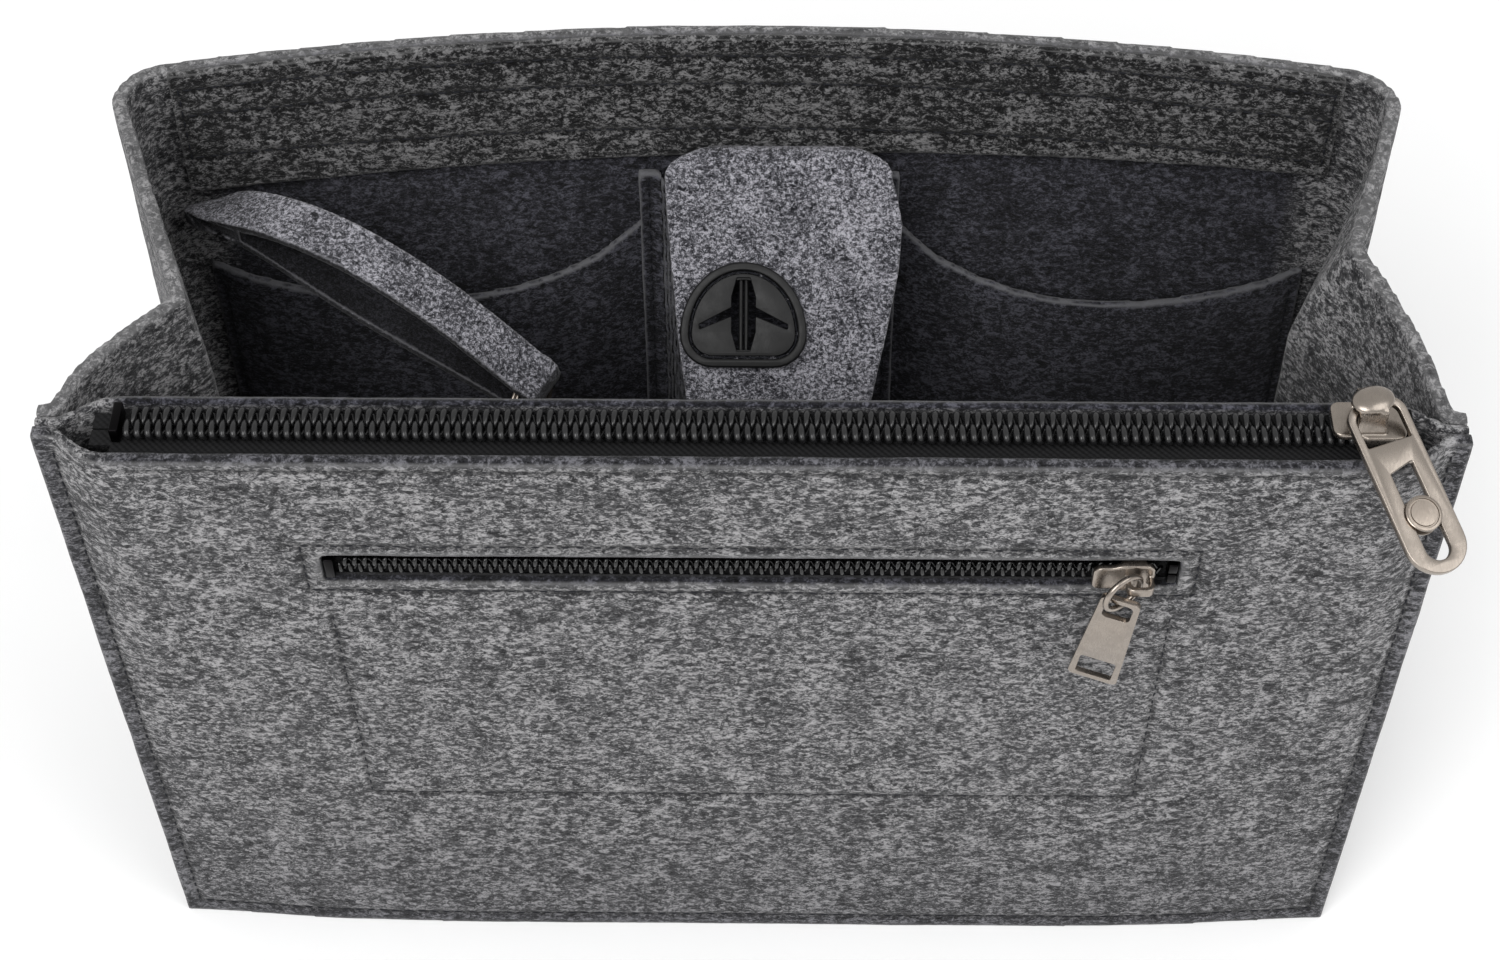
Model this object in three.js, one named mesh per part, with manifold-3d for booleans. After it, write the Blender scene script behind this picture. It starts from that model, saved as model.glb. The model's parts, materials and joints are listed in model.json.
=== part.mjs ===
// Purse organizer insert: an open felt tote with a zipped front compartment, a zipped pocket in
// the front panel, two slip pockets and a phone pocket on the rear wall, and a key strap.
// Millimetres, +Z up, the front faces -Y. The origin is the centre of the base's underside.
import * as THREE from 'three';
import { mergeVertices } from 'three/addons/utils/BufferGeometryUtils.js';
import Module from 'manifold-3d';

const wasm = await Module();
wasm.setup();

// Body: overall sizes and cloth
const bodyWidth = 280;
const bodyHeight = 182;
const bodyDepth = 100;
const felt = 3;
const lightFelt = 2;
const lining = 0.6;
const gap = 0.3;
const seam = 4.5;
const overrun = 2;

// Front compartment: how far its walls stand off the seams
const mouthFrontDepth = 6.85;
const mouthRearDepth = 5.5;
const mouthEnd = 11;
const belly = 3;
const bellyEnd = 60;
const dividerBelly = 7;

// Gussets and rear wall
const flangeBend = 2.6;
const flangeLength = 1.6;
const pinchLeft = 24;
const pinchRight = 22.5;
const rimPinchLeft = 22;
const rimPinchRight = 14;
const creaseLeft = 34;
const creaseRight = 50;
const pinchShare = 0.8;
const rimShare = 0.85;
const wallSlopeShare = 1.04;
const mitreShare = 0.5;
const cornerRadius = 10.5;
const cornerLean = 8;
const rearArch = 13.6;

// Base panel
const baseLip = 5;

// Band along the inside of the rear wall's top
const bandInset = 11;
const bandHeightLeft = 34;
const bandHeightRight = 27;

// Slip pockets on the rear wall
const slipInset = 12;
const slipBottom = 5;
const slipDrop = 50;
const slipDip = 12;
const slipEnd = 6;
const slipSwell = 8;

// Phone pocket
const phoneCentre = 3;
const phoneWidth = 60;
const phoneBottom = 22;
const phoneDrop = 34;
const phoneDepth = 14;
const phoneSide = 9;
const phoneRound = 20;

// Phone flap with its cable port
const flapCentre = 6.5;
const flapWidth = 54;
const flapLength = 62;
const flapTopWidth = 24;
const flapTab = 8;
const flapTabDrop = 43;
const flapReach = 9.7;
const flapRise = 8;
const flapBow = 4.5;
const flapLean = 41;
const flapCurl = 3;
const flapCurlShare = 0.74;
const flapEdgeShares = [0, 0.15, 0.35, 0.6, 0.85, 1];
const flapLeftShares = [1, 0.98, 0.94, 0.88, 0.8, 0.58];
const flapRightShares = [0.91, 1, 0.96, 0.85, 0.72, 0.5];
const portOffset = -9;
const portDrop = 31;
const portWidth = 27;
const portHeight = 22.5;
const portRound = 5;
const portFlange = 1.6;
const portRim = 2.2;
const portGroove = 0.5;
const portNeck = 2.6;
const portBack = 1;
const portSlot = 5.3;
const portPinch = 0.9;
const portTaper = 0.75;
const portSlotLong = 16;
const portSlit = 1;
const portSlitDrop = 3.4;

// Key strap and its ring
const strapWidth = 12;
const strapInset = 15;
const strapDrop = 39;
const strapStand = 2;
const strapLength = 90;
const strapCrest = 18;
const strapFall = 6;
const strapLoop = 4.8;
const strapSag = 8;
const strapMeet = 16;
const strapTurn = 20;
const strapHeading = -26;
const ringRadius = 9.2;
const ringWire = 1.8;
const ringSeat = 1.7;

// Main zip: chain, tape and stops
const mainPitch = 2.08;
const mainHalf = 3.75;
const mainThick = 3.2;
const mainRise = 2;
const mainReach = 0.9;
const mainSpine = 1.1;
const mainStart = 18;
const mainEnd = 14;
const tapeThick = 0.6;
const tapeDrop = 9;
const tapeSlit = 0.5;
const tapeLeg = 15.7;
const tapeEnd = 11.5;
const stopLength = 1.8;
const stopRise = 0.5;

// Small zip in the front panel's slot
const slotWidth = 174;
const slotHeight = 9;
const slotRadius = 1.2;
const slotDrop = 35;
const smallPitch = 2.04;
const smallHalf = 3;
const smallThick = 2.2;
const smallReach = 0.8;
const smallSpine = 0.9;
const smallTapeWidth = 12;
const smallMargin = 1;
const smallEnd = 2.8;

// Pocket bag behind the slot
const bagWidth = 184;
const bagDrop = 19;
const bagBottom = 60;
const bagSwell = 4.8;
const bagEdge = 12;

// Sliders
const mainSliderLength = 14;
const mainSliderWidth = 10.3;
const mainRest = 20.7;
const smallSliderLength = 12.5;
const smallSliderWidth = 8.4;
const smallRest = 11.5;
const plateThick = 1.6;
const smallPlate = 1.4;
const sliderWall = 0.9;
const wallShare = 0.55;
const tailShare = 0.84;
const sliderRound = 1.8;

// Bridge and pull of the main slider
const bridgeWidth = 5.6;
const bridgeSpan = 5.6;
const bridgeInside = 5.1;
const bridgeBar = 1.3;
const bridgeRound = 1.6;
const pullHang = 1.4;
const pullWidth = 12.4;
const pullLength = 36;
const pullThick = 1.6;
const pullBar = 1.5;
const pullRim = 1.5;
const pullEye = 8;
const pullRound = 3.4;
const pullSwing = 22;
const pullLean = 21;
const windowTop = 12.6;
const windowWidth = 5;
const studRadius = 2.8;
const studCore = 2.2;
const studPlace = 24;
const studProud = 0.4;

// Bridge, link and tab of the small slider
const archOffset = 3.2;
const archSpan = 3.6;
const archInside = 2.6;
const archBar = 1.1;
const archWide = 2.4;
const linkRadius = 4.4;
const linkWire = 1.4;
const linkOpen = 34;
const linkHang = 4;
const linkRaise = 0.6;
const tabTop = 8.2;
const tabBottom = 10.6;
const tabLength = 33;
const tabThick = 1.2;
const tabBar = 1.3;
const tabHook = 6;
const tabHookWidth = 5.8;
const tabWindow = 7;
const tabWindowRim = 1.4;
const tabRound = 1.2;
const tabLean = 6;
const tabTilt = 3.5;
const tabYaw = 16;

// Colours
const feltLight = new THREE.MeshStandardMaterial({ color: 0x7a7c80, roughness: 0.95, metalness: 0 });
const feltDark = new THREE.MeshStandardMaterial({ color: 0x45474c, roughness: 0.95, metalness: 0 });
const cloth = new THREE.MeshStandardMaterial({ color: 0x17181a, roughness: 0.9, metalness: 0 });
const coilPlastic = new THREE.MeshStandardMaterial({ color: 0x1d1f20, roughness: 0.35, metalness: 0 });
const gunmetal = new THREE.MeshStandardMaterial({ color: 0x968c82, roughness: 0.3, metalness: 1 });
const steel = new THREE.MeshStandardMaterial({ color: 0xb9b4aa, roughness: 0.2, metalness: 1 });
const rubber = new THREE.MeshStandardMaterial({ color: 0x1e1d1f, roughness: 0.6, metalness: 0 });

const group = new THREE.Group();
const insert = new THREE.Group();
group.add(insert);

const at = (x, y, z) => new THREE.Vector3(x, y, z);
const unit = (value) => Math.min(1, Math.max(0, value));
const quarterSine = (value) => Math.sin((Math.PI / 2) * unit(value));
const degrees = (value) => (value * Math.PI) / 180;
const half = bodyWidth / 2;
const frontY = -(gap / 2 + felt);

// Levels measured down from the rim, and the strap's place in from the side
const slipTop = bodyHeight - slipDrop;
const phoneTop = bodyHeight - phoneDrop;
const flapTabBottom = bodyHeight - flapTabDrop;
const strapLevel = bodyHeight - strapDrop;
const strapPlace = half - strapInset;
const slotLevel = bodyHeight - slotDrop;
const bagTop = bodyHeight - bagDrop;

// Levels of the main zip's chain
const chainHigh = bodyHeight + mainRise;
const chainLow = chainHigh - mainThick;

function spread(from, to, steps) {
  return Array.from({ length: steps + 1 }, (_, i) => from + ((to - from) * i) / steps);
}

// Closed solids
function bare(geometry) {
  geometry.deleteAttribute('normal');
  geometry.deleteAttribute('uv');
  return mergeVertices(geometry, gap / 1000);
}

function toSolid(geometry) {
  const clean = bare(geometry);
  return new wasm.Manifold(new wasm.Mesh({
    numProp: 3,
    vertProperties: Float32Array.from(clean.attributes.position.array),
    triVerts: Uint32Array.from(clean.index.array),
  }));
}

function fromSolid(solid) {
  const mesh = solid.getMesh();
  const geometry = new THREE.BufferGeometry();
  geometry.setAttribute('position', new THREE.BufferAttribute(mesh.vertProperties, 3));
  geometry.setIndex(new THREE.BufferAttribute(mesh.triVerts, 1));
  return geometry;
}

function cut(geometry, ...tools) {
  return fromSolid(tools.reduce((solid, tool) => solid.subtract(toSolid(tool)), toSolid(geometry)));
}

function join(geometry, ...others) {
  return fromSolid(others.reduce((solid, other) => solid.add(toSolid(other)), toSolid(geometry)));
}

function facingOut(geometry) {
  const position = geometry.attributes.position;
  const index = geometry.index;
  const [a, b, c] = [at(0, 0, 0), at(0, 0, 0), at(0, 0, 0)];
  let volume = 0;
  for (let i = 0; i < index.count; i += 3) {
    a.fromBufferAttribute(position, index.getX(i));
    b.fromBufferAttribute(position, index.getX(i + 1));
    c.fromBufferAttribute(position, index.getX(i + 2));
    volume += a.dot(b.cross(c));
  }
  if (volume < 0) {
    for (let i = 0; i < index.count; i += 3) {
      const first = index.getX(i);
      index.setX(i, index.getX(i + 1));
      index.setX(i + 1, first);
    }
  }
  return geometry;
}

// A sheet between two faces, each a grid of columns of points
function sheet(front, back) {
  const columns = front.length;
  const rows = front[0].length;
  const points = [...front, ...back].flatMap((column) => column.flatMap((p) => [p.x, p.y, p.z]));
  const id = (side, i, j) => (side * columns + i) * rows + j;
  const faces = [];
  const quad = (a, b, c, d) => faces.push(a, b, c, a, c, d);
  for (let i = 0; i < columns - 1; i += 1) {
    for (let j = 0; j < rows - 1; j += 1) {
      quad(id(0, i, j), id(0, i + 1, j), id(0, i + 1, j + 1), id(0, i, j + 1));
      quad(id(1, i, j), id(1, i, j + 1), id(1, i + 1, j + 1), id(1, i + 1, j));
    }
    quad(id(0, i, 0), id(1, i, 0), id(1, i + 1, 0), id(0, i + 1, 0));
    quad(id(0, i, rows - 1), id(0, i + 1, rows - 1), id(1, i + 1, rows - 1), id(1, i, rows - 1));
  }
  for (let j = 0; j < rows - 1; j += 1) {
    quad(id(0, 0, j), id(0, 0, j + 1), id(1, 0, j + 1), id(1, 0, j));
    const last = columns - 1;
    quad(id(0, last, j), id(1, last, j), id(1, last, j + 1), id(0, last, j + 1));
  }
  const geometry = new THREE.BufferGeometry();
  geometry.setAttribute('position', new THREE.Float32BufferAttribute(points, 3));
  geometry.setIndex(faces);
  return facingOut(geometry);
}

// A sheet whose face is y(x, z), thickened towards +Y
function panel(xs, heights, face, thickness) {
  const grid = (offset) => xs.map((x) => heights(x).map((z) => at(x, face(x, z) + offset, z)));
  return sheet(grid(0), grid(thickness));
}

function outline(points) {
  return new THREE.Shape(points.map(([x, y]) => new THREE.Vector2(x, y)));
}

function extrude(shape, depth, segments = 8) {
  const options = { depth, bevelEnabled: false, curveSegments: segments, steps: 1 };
  return new THREE.ExtrudeGeometry(shape, options);
}

// A bar whose section lies across X: section points are [y, z]
function barAlongX(section, from, to) {
  const geometry = extrude(outline(section), to - from);
  geometry.rotateX(Math.PI / 2);
  geometry.rotateZ(Math.PI / 2);
  geometry.translate(from, 0, 0);
  return geometry;
}

function box(low, high) {
  const size = high.clone().sub(low);
  const geometry = new THREE.BoxGeometry(size.x, size.y, size.z);
  geometry.translate(...low.clone().add(high).multiplyScalar(1 / 2).toArray());
  return geometry;
}

function roundedBox(width, height, radius) {
  const [w, h] = [width / 2, height / 2];
  const r = Math.min(radius, w, h);
  const shape = new THREE.Shape();
  shape.moveTo(-w + r, -h);
  shape.lineTo(w - r, -h);
  shape.absarc(w - r, -h + r, r, -Math.PI / 2, 0);
  shape.absarc(w - r, h - r, r, 0, Math.PI / 2);
  shape.absarc(-w + r, h - r, r, Math.PI / 2, Math.PI);
  shape.absarc(-w + r, -h + r, r, Math.PI, Math.PI * 1.5);
  return shape;
}

function place(name, geometry, material, parent = insert) {
  const mesh = new THREE.Mesh(geometry, material);
  mesh.name = name;
  parent.add(mesh);
  return mesh;
}

// Front compartment: the faces of its two walls
const swell = (x, reach) => quarterSine((half - seam - Math.abs(x)) / reach);
const rise = (z) => (z / bodyHeight) ** 2;
const sag = (x, z) => belly * swell(x, bellyEnd) * (1 - rise(z));
const frontFace = (x, z) => frontY - mouthFrontDepth * swell(x, mouthEnd) * rise(z) - sag(x, z);

function dividerFace(x, z) {
  const share = z / bodyHeight;
  const soft = dividerBelly * swell(x, bellyEnd) * 4 * share * (1 - share);
  return gap / 2 + mouthRearDepth * swell(x, mouthEnd) * rise(z) - sag(x, z) + soft;
}

function wallStations() {
  const seamEdge = half - seam;
  const side = [
    half,
    ...spread(seamEdge, seamEdge - mouthEnd, 4),
    ...spread(seamEdge - mouthEnd, seamEdge - bellyEnd, 4).slice(1),
    ...spread(seamEdge - bellyEnd, 0, 3).slice(1, -1),
  ];
  return [...side.map((x) => -x), 0, ...side.reverse()];
}

const wallRows = () => spread(0, bodyHeight, 9);

// The small zip lies in the slot, along the front panel's slope there
const slotY = frontFace(0, slotLevel);
const slotSlope = Math.atan((frontFace(0, slotLevel + slotHeight) - slotY) / slotHeight);

function slotTool() {
  const shape = roundedBox(slotWidth, slotHeight, slotRadius);
  const tool = extrude(shape, felt + 2 * overrun, 3);
  tool.rotateX(Math.PI / 2);
  tool.translate(0, slotY + felt + overrun, slotLevel);
  return tool;
}

function frontPanel() {
  const body = panel(wallStations(), wallRows, frontFace, felt);
  place('front_panel', cut(body, slotTool()), feltLight);
}

function dividerPanel() {
  place('divider_panel', panel(wallStations(), wallRows, dividerFace, lightFelt), feltLight);
}

// Rear wall and gussets: one strip, given by its middle line at each height
const flangeY = gap / 2 + lightFelt + gap + felt / 2;
const sideX = half - felt / 2;

function pinch(z, body, rim) {
  const share = z / bodyHeight;
  const lip = unit((share - rimShare) / (1 - rimShare)) ** 1.5;
  return body * quarterSine(share / pinchShare) + (rim - body) * lip;
}

function rearLine(z) {
  const share = z / bodyHeight;
  const arch = rearArch * share ** 1.5;
  const cornerX = sideX - cornerRadius;
  const cornerY = frontY + bodyDepth - felt / 2 - cornerRadius + cornerLean * share;
  const turn = Math.atan((2 * arch) / cornerX);
  const endX = cornerX + cornerRadius * Math.sin(turn);
  const endY = cornerY + cornerRadius * Math.cos(turn);
  return { arch, cornerX, cornerY, turn, endX, endY };
}

// Half of the strip from its front flange to the rear wall, for the right side
function gussetLine(z, crease, depth) {
  const line = rearLine(z);
  const bendX = half - flangeLength;
  const frontX = bendX - flangeBend;
  const startY = flangeY + flangeBend;
  const points = [[half, flangeY]];
  for (const turn of spread(degrees(90), degrees(180), 3)) {
    points.push([bendX + flangeBend * Math.cos(turn), startY - flangeBend * Math.sin(turn)]);
  }
  for (const t of spread(0, 1, 4).slice(1)) {
    points.push([frontX + (sideX - depth - frontX) * t ** 1.5, startY + (crease - startY) * t]);
  }
  const foldX = points.at(-1)[0];
  for (const t of spread(0, 1, 2).slice(1)) {
    points.push([foldX + (sideX - foldX) * t, crease + (line.cornerY - crease) * t]);
  }
  for (const turn of spread(0, Math.PI / 2 - line.turn, 4).slice(1)) {
    const [x, y] = [cornerRadius * Math.cos(turn), cornerRadius * Math.sin(turn)];
    points.push([line.cornerX + x, line.cornerY + y]);
  }
  return points;
}

function stripLine(z) {
  const line = rearLine(z);
  const left = gussetLine(z, creaseLeft, pinch(z, pinchLeft, rimPinchLeft)).map(([x, y]) => [-x, y]);
  const right = gussetLine(z, creaseRight, pinch(z, pinchRight, rimPinchRight)).reverse();
  const rear = spread(-line.endX, line.endX, 12).slice(1, -1).map((x) => [x, rearMiddle(x, z)]);
  return [...left, ...rear, ...right];
}

function rearMiddle(x, z) {
  const line = rearLine(z);
  return line.endY + line.arch * (1 - (x / line.endX) ** 2);
}

// The rear wall's inner face, with the same small allowance for its slope everywhere
const rearInner = (x, z) => rearMiddle(x, z) - (felt / 2) * wallSlopeShare;

// Points of a plan line moved sideways, to the left of its direction for a positive offset
function shifted(line, offset) {
  return line.map(([x, y], i) => {
    const [ax, ay] = line[Math.max(0, i - 1)];
    const [bx, by] = line[Math.min(line.length - 1, i + 1)];
    const before = new THREE.Vector2(x - ax, y - ay).normalize();
    const after = new THREE.Vector2(bx - x, by - y).normalize();
    const way = before.clone().add(after).normalize();
    const mitred = i > 0 && i < line.length - 1;
    const stretch = mitred ? 1 / Math.max(way.dot(before), mitreShare) : 1;
    return [x - way.y * offset * stretch, y + way.x * offset * stretch];
  });
}

function bodyPanel() {
  const rimLevel = bodyHeight * rimShare;
  const levels = [...spread(0, rimLevel, 6), ...spread(rimLevel, bodyHeight, 3).slice(1)];
  const face = (offset) => {
    const lines = levels.map((z) => shifted(stripLine(z), offset).map(([x, y]) => at(x, y, z)));
    return lines[0].map((_, i) => lines.map((line) => line[i]));
  };
  place('body_panel', sheet(face(felt / 2), face(-felt / 2)), feltLight);
}

// Base: a plate with a turned-up lip along the divider and along the rear wall
function basePanel() {
  const inner = shifted(stripLine(baseLip), -(felt / 2 + 2 * gap));
  const front = (x, z) => dividerFace(x, Math.max(z, felt)) + lightFelt + gap;
  const inside = inner.filter(([x, y]) => y > flangeY + felt + gap && Math.abs(x) < half);
  const frontX = Math.abs(inside[0][0]);
  const edge = spread(frontX, -frontX, 12).map((x) => [x, front(x, 0)]);
  const plate = extrude(outline([...inside, ...edge]), felt);
  const frontLip = panel(spread(-frontX, frontX, 12), () => [0, felt, felt + baseLip], front, lightFelt);
  const line = rearLine(baseLip);
  const rearFace = (x) => rearInner(x, 0) - gap - lightFelt;
  const across = spread(-line.cornerX, line.cornerX, 12);
  const rearLip = panel(across, () => [0, felt + baseLip], rearFace, lightFelt);
  place('base_panel', join(plate, frontLip, rearLip), feltLight);
}

// Band along the inside of the rear wall's top edge
const bandHeight = (x) => bandHeightLeft + (bandHeightRight - bandHeightLeft) * (x / bodyWidth + 1 / 2);
const bandFace = (x, z) => rearInner(x, z) - gap - lightFelt;

function rearBand() {
  const reach = half - bandInset;
  const rows = (x) => spread(bodyHeight - bandHeight(x), bodyHeight, 3);
  place('rear_band', panel(spread(-reach, reach, 16), rows, bandFace, lightFelt), feltLight);
}

// Slip pockets: one panel sewn at both sides, at the bottom and behind the phone pocket
const phoneLeft = phoneCentre - phoneWidth / 2;
const phoneRight = phoneCentre + phoneWidth / 2;

function slipShare(x) {
  const reach = half - slipInset;
  if (x > phoneLeft && x < phoneRight) return 0;
  const inner = x < 0 ? phoneLeft : phoneRight;
  return unit((Math.abs(x) - Math.abs(inner)) / (reach - Math.abs(inner)));
}

function slipHeight(x) {
  const share = slipShare(x);
  return slipTop - slipDip * Math.sin(Math.PI * share ** 0.8) - slipEnd * share;
}

function slipFace(x, z) {
  const puff = Math.sin(Math.PI * slipShare(x)) ** 0.6;
  return rearInner(x, z) - gap - lightFelt - slipSwell * puff * quarterSine((z - slipBottom) / slipTop);
}

function slipPocketPanel() {
  const reach = half - slipInset;
  const xs = [
    ...spread(-reach, phoneLeft, 10),
    ...spread(phoneLeft, phoneRight, 3).slice(1, -1),
    ...spread(phoneRight, reach, 10),
  ];
  const bottom = slipBottom + baseLip;
  const rows = (x) => spread(bottom, slipHeight(x), 5);
  place('slip_pocket_panel', panel(xs, rows, slipFace, lightFelt), feltDark);
}

// Phone pocket: a shallow tray of felt, open at the top
function phoneFace(x, z) {
  const across = quarterSine((phoneWidth / 2 - seam - Math.abs(x - phoneCentre)) / phoneSide);
  const down = quarterSine((z - phoneBottom - seam) / phoneRound);
  return rearInner(x, z) - 2 * (gap + lightFelt) - phoneDepth * across * down;
}

function phonePocket() {
  const flat = phoneWidth / 2 - seam;
  const side = [phoneWidth / 2, ...spread(flat, flat - phoneSide, 3)];
  const xs = [...side.map((x) => phoneCentre - x), ...side.reverse().map((x) => phoneCentre + x)];
  const low = phoneBottom + seam;
  const full = low + phoneRound;
  const rows = () => [phoneBottom, ...spread(low, full, 3), ...spread(full, phoneTop, 3).slice(1)];
  place('phone_pocket', panel(xs, rows, phoneFace, lightFelt), feltDark);
}

// Sheets through given sections: each section is a row of points from left to right
function strip(rows, normals, thickness) {
  const face = (side) => rows[0].map((_, i) => rows.map((row, j) => (
    row[i].clone().addScaledVector(normals[j], (side * thickness) / 2))));
  return sheet(face(1), face(-1));
}

function shareAt(shares, t) {
  const i = Math.max(1, flapEdgeShares.findIndex((edge) => edge >= t));
  const [t0, t1] = [flapEdgeShares[i - 1], flapEdgeShares[i]];
  return shares[i - 1] + ((shares[i] - shares[i - 1]) * (t - t0)) / (t1 - t0);
}

// The flap's root is sewn to the rear wall and folds forward to the flap's hinge line
const flapHalf = flapWidth / 2;
const flapFoot = flapTabBottom + flapTab;
const rootY = rearInner(flapCentre + flapTopWidth / 2, flapTabBottom) - lightFelt;
const foldLine = at(0, rootY - flapReach, flapFoot + flapRise);
const flapWay = at(0, -Math.cos(degrees(flapLean)), -Math.sin(degrees(flapLean)));

function phoneFlapRoot() {
  const edge = foldLine.clone().addScaledVector(flapWay, -(lightFelt / 2 + gap));
  const curve = new THREE.CubicBezierCurve3(
    at(0, rootY, flapFoot),
    at(0, rootY, flapFoot + flapRise + flapBow),
    edge.clone().addScaledVector(flapWay, -flapBow),
    edge,
  );
  const steps = spread(0, 1, 7);
  const middles = [at(0, rootY, flapTabBottom), ...steps.map((t) => curve.getPoint(t))];
  const ways = [at(0, 0, 1), ...steps.map((t) => curve.getTangent(t))];
  const narrow = flapTopWidth / 2;
  const widths = [0, ...steps].map((t) => narrow + (flapHalf - narrow) * quarterSine(t ** 2));
  const rows = middles.map((middle, j) => {
    const across = spread(-widths[j], widths[j] * flapRightShares[0], 4);
    return across.map((x) => at(flapCentre + x, middle.y, middle.z));
  });
  const normals = ways.map((way) => at(0, way.z, -way.y));
  place('phone_flap_root', strip(rows, normals, lightFelt), feltLight);
}

// The flap lies in its own frame: hinge along X, the cloth towards -Y, its upper face towards +Z
const flap = new THREE.Group();
flap.position.copy(foldLine);
flap.rotation.x = degrees(flapLean);
insert.add(flap);

function portShape(inset) {
  const [w, h] = [portWidth / 2 - inset, portHeight / 2 - inset];
  const r = Math.max(portRound - inset, portGroove);
  const shape = new THREE.Shape();
  shape.moveTo(-w + r, -h);
  shape.lineTo(w - r, -h);
  shape.absarc(w - r, -h + r, r, -Math.PI / 2, 0);
  shape.absellipse(0, -h + r, w, 2 * h - r, 0, Math.PI);
  shape.absarc(-w + r, -h + r, r, Math.PI, Math.PI * 1.5);
  return shape;
}

// A flat shape lying in XY, between two levels
function slab(shape, low, high, segments) {
  const geometry = extrude(shape, high - low, segments);
  geometry.translate(0, 0, low);
  return geometry;
}

function atPort(geometry) {
  geometry.translate(flapCentre + portOffset, -portDrop, 0);
  return geometry;
}

function phoneFlap() {
  const radius = lightFelt / 2;
  const shares = spread(0, 1, 12);
  const curl = (t) => -flapCurl * unit((t - flapCurlShare) / (1 - flapCurlShare)) ** 2;
  const rows = shares.map((t) => {
    const left = flapCentre - flapHalf * shareAt(flapLeftShares, t);
    const right = flapCentre + flapHalf * shareAt(flapRightShares, t);
    return spread(left, right, 6).map((x) => at(x, -flapLength * t, curl(t)));
  });
  const body = strip(rows, shares.map(() => at(0, 0, 1)), lightFelt);
  const [leftShare, rightShare] = [flapLeftShares[0], flapRightShares[0]];
  const knuckle = new THREE.CylinderGeometry(radius, radius, flapHalf * (leftShare + rightShare), 12);
  knuckle.rotateZ(Math.PI / 2);
  knuckle.translate(flapCentre + (flapHalf * (rightShare - leftShare)) / 2, 0, 0);
  const hole = atPort(slab(portShape(portNeck - gap), -lightFelt, lightFelt, 6));
  place('phone_flap', cut(join(body, knuckle), hole), feltLight, flap);
}

function cablePort() {
  const felted = lightFelt / 2 + gap;
  const front = slab(portShape(0), felted, felted + portFlange, 6);
  const neck = slab(portShape(portNeck), -felted, felted + portFlange, 6);
  const back = slab(portShape(portRim / 2), -felted - portBack, -felted, 6);
  const grooveShape = portShape(portRim);
  grooveShape.holes.push(portShape(portRim + portGroove));
  const groove = slab(grooveShape, felted + portFlange - portGroove, felted + 2 * portFlange, 6);
  const [w, h] = [portSlot / 2, portSlotLong / 2];
  const corner = h * portTaper;
  const lens = outline([
    [-w / 2, -h], [w / 2, -h], [w, -corner], [w * portPinch, 0], [w, corner],
    [w / 2, h], [-w / 2, h], [-w, corner], [-w * portPinch, 0], [-w, -corner],
  ]);
  const reach = portWidth / 2 - portNeck - portSlit;
  const [deep, proud] = [-2 * portFlange - felted, 2 * portFlange + felted];
  const slitShape = (side) => outline([
    [0, portSlit / 2],
    [0, -portSlit / 2],
    [side * reach, -portSlitDrop - portSlit / 2],
    [side * reach, -portSlitDrop + portSlit / 2],
  ]);
  const slits = [-1, 1].map((side) => slab(slitShape(side), deep, proud));
  const slot = slab(lens, deep, proud);
  const solid = cut(join(front, neck, back), groove, slot, ...slits);
  place('cable_port', atPort(solid), rubber, flap);
}

// Key strap: a doubled felt strip that loops round the ring; its path bends in plan
const strapBend = degrees(90 + strapHeading);

function strapPlan(run) {
  const steps = 12;
  let [x, y] = [-strapPlace, rearInner(-strapPlace, strapLevel) - gap - strapStand];
  for (const part of spread(0, run, steps).slice(1)) {
    const heading = strapBend * quarterSine((part - run / steps / 2) / strapTurn) - Math.PI / 2;
    x += (Math.cos(heading) * run) / steps;
    y += (Math.sin(heading) * run) / steps;
  }
  return { x, y, heading: strapBend * quarterSine(run / strapTurn) - Math.PI / 2 };
}

function strapRise(run) {
  const t = (run / strapLength) ** 0.8;
  return strapLevel + 4 * strapCrest * t * (1 - t) - strapFall * t;
}

function strapOpen(run) {
  const t = unit((run - strapMeet) / (strapLength - strapMeet));
  return strapLoop * quarterSine(2 * t) + strapSag * Math.sin(Math.PI * t);
}

const strapEye = strapRise(strapLength) - (lightFelt + strapLoop) / 2;

// A closed line in run and height, the given distance outside the space between the layers
function strapLine(runs, margin) {
  const bow = spread(Math.PI / 2, -Math.PI / 2, 6).slice(1, -1);
  return [
    ...runs.map((run) => [run, strapRise(run) - lightFelt / 2 + margin]),
    ...bow.map((turn) => [
      strapLength + (strapLoop / 2 + margin) * Math.cos(turn),
      strapEye + (strapLoop / 2 + margin) * Math.sin(turn)]),
    ...runs.slice().reverse().map((run) => [run, strapRise(run) - lightFelt / 2 - strapOpen(run) - margin]),
  ];
}

function keyStrap() {
  const shape = outline(strapLine(spread(0, strapLength, 18), lightFelt));
  shape.holes.push(outline(strapLine(spread(strapMeet + strapTurn / 4, strapLength, 14), 0).reverse()));
  const geometry = slab(shape, -strapWidth / 2, strapWidth / 2);
  const position = geometry.attributes.position;
  for (let i = 0; i < position.count; i += 1) {
    const { x, y, heading } = strapPlan(position.getX(i));
    const side = position.getZ(i);
    position.setXYZ(i, x - side * Math.sin(heading), y + side * Math.cos(heading), position.getY(i));
  }
  place('key_strap', flipped(geometry), feltLight);
}

function keyRing() {
  const { x, y, heading } = strapPlan(strapLength - ringWire / 2);
  const geometry = new THREE.TorusGeometry(ringRadius, ringWire / 2, 8, 28);
  geometry.rotateY(Math.PI / 2);
  geometry.rotateZ(heading);
  geometry.translate(x, y, strapEye + ringSeat - ringRadius);
  place('key_ring', geometry, gunmetal);
}

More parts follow.
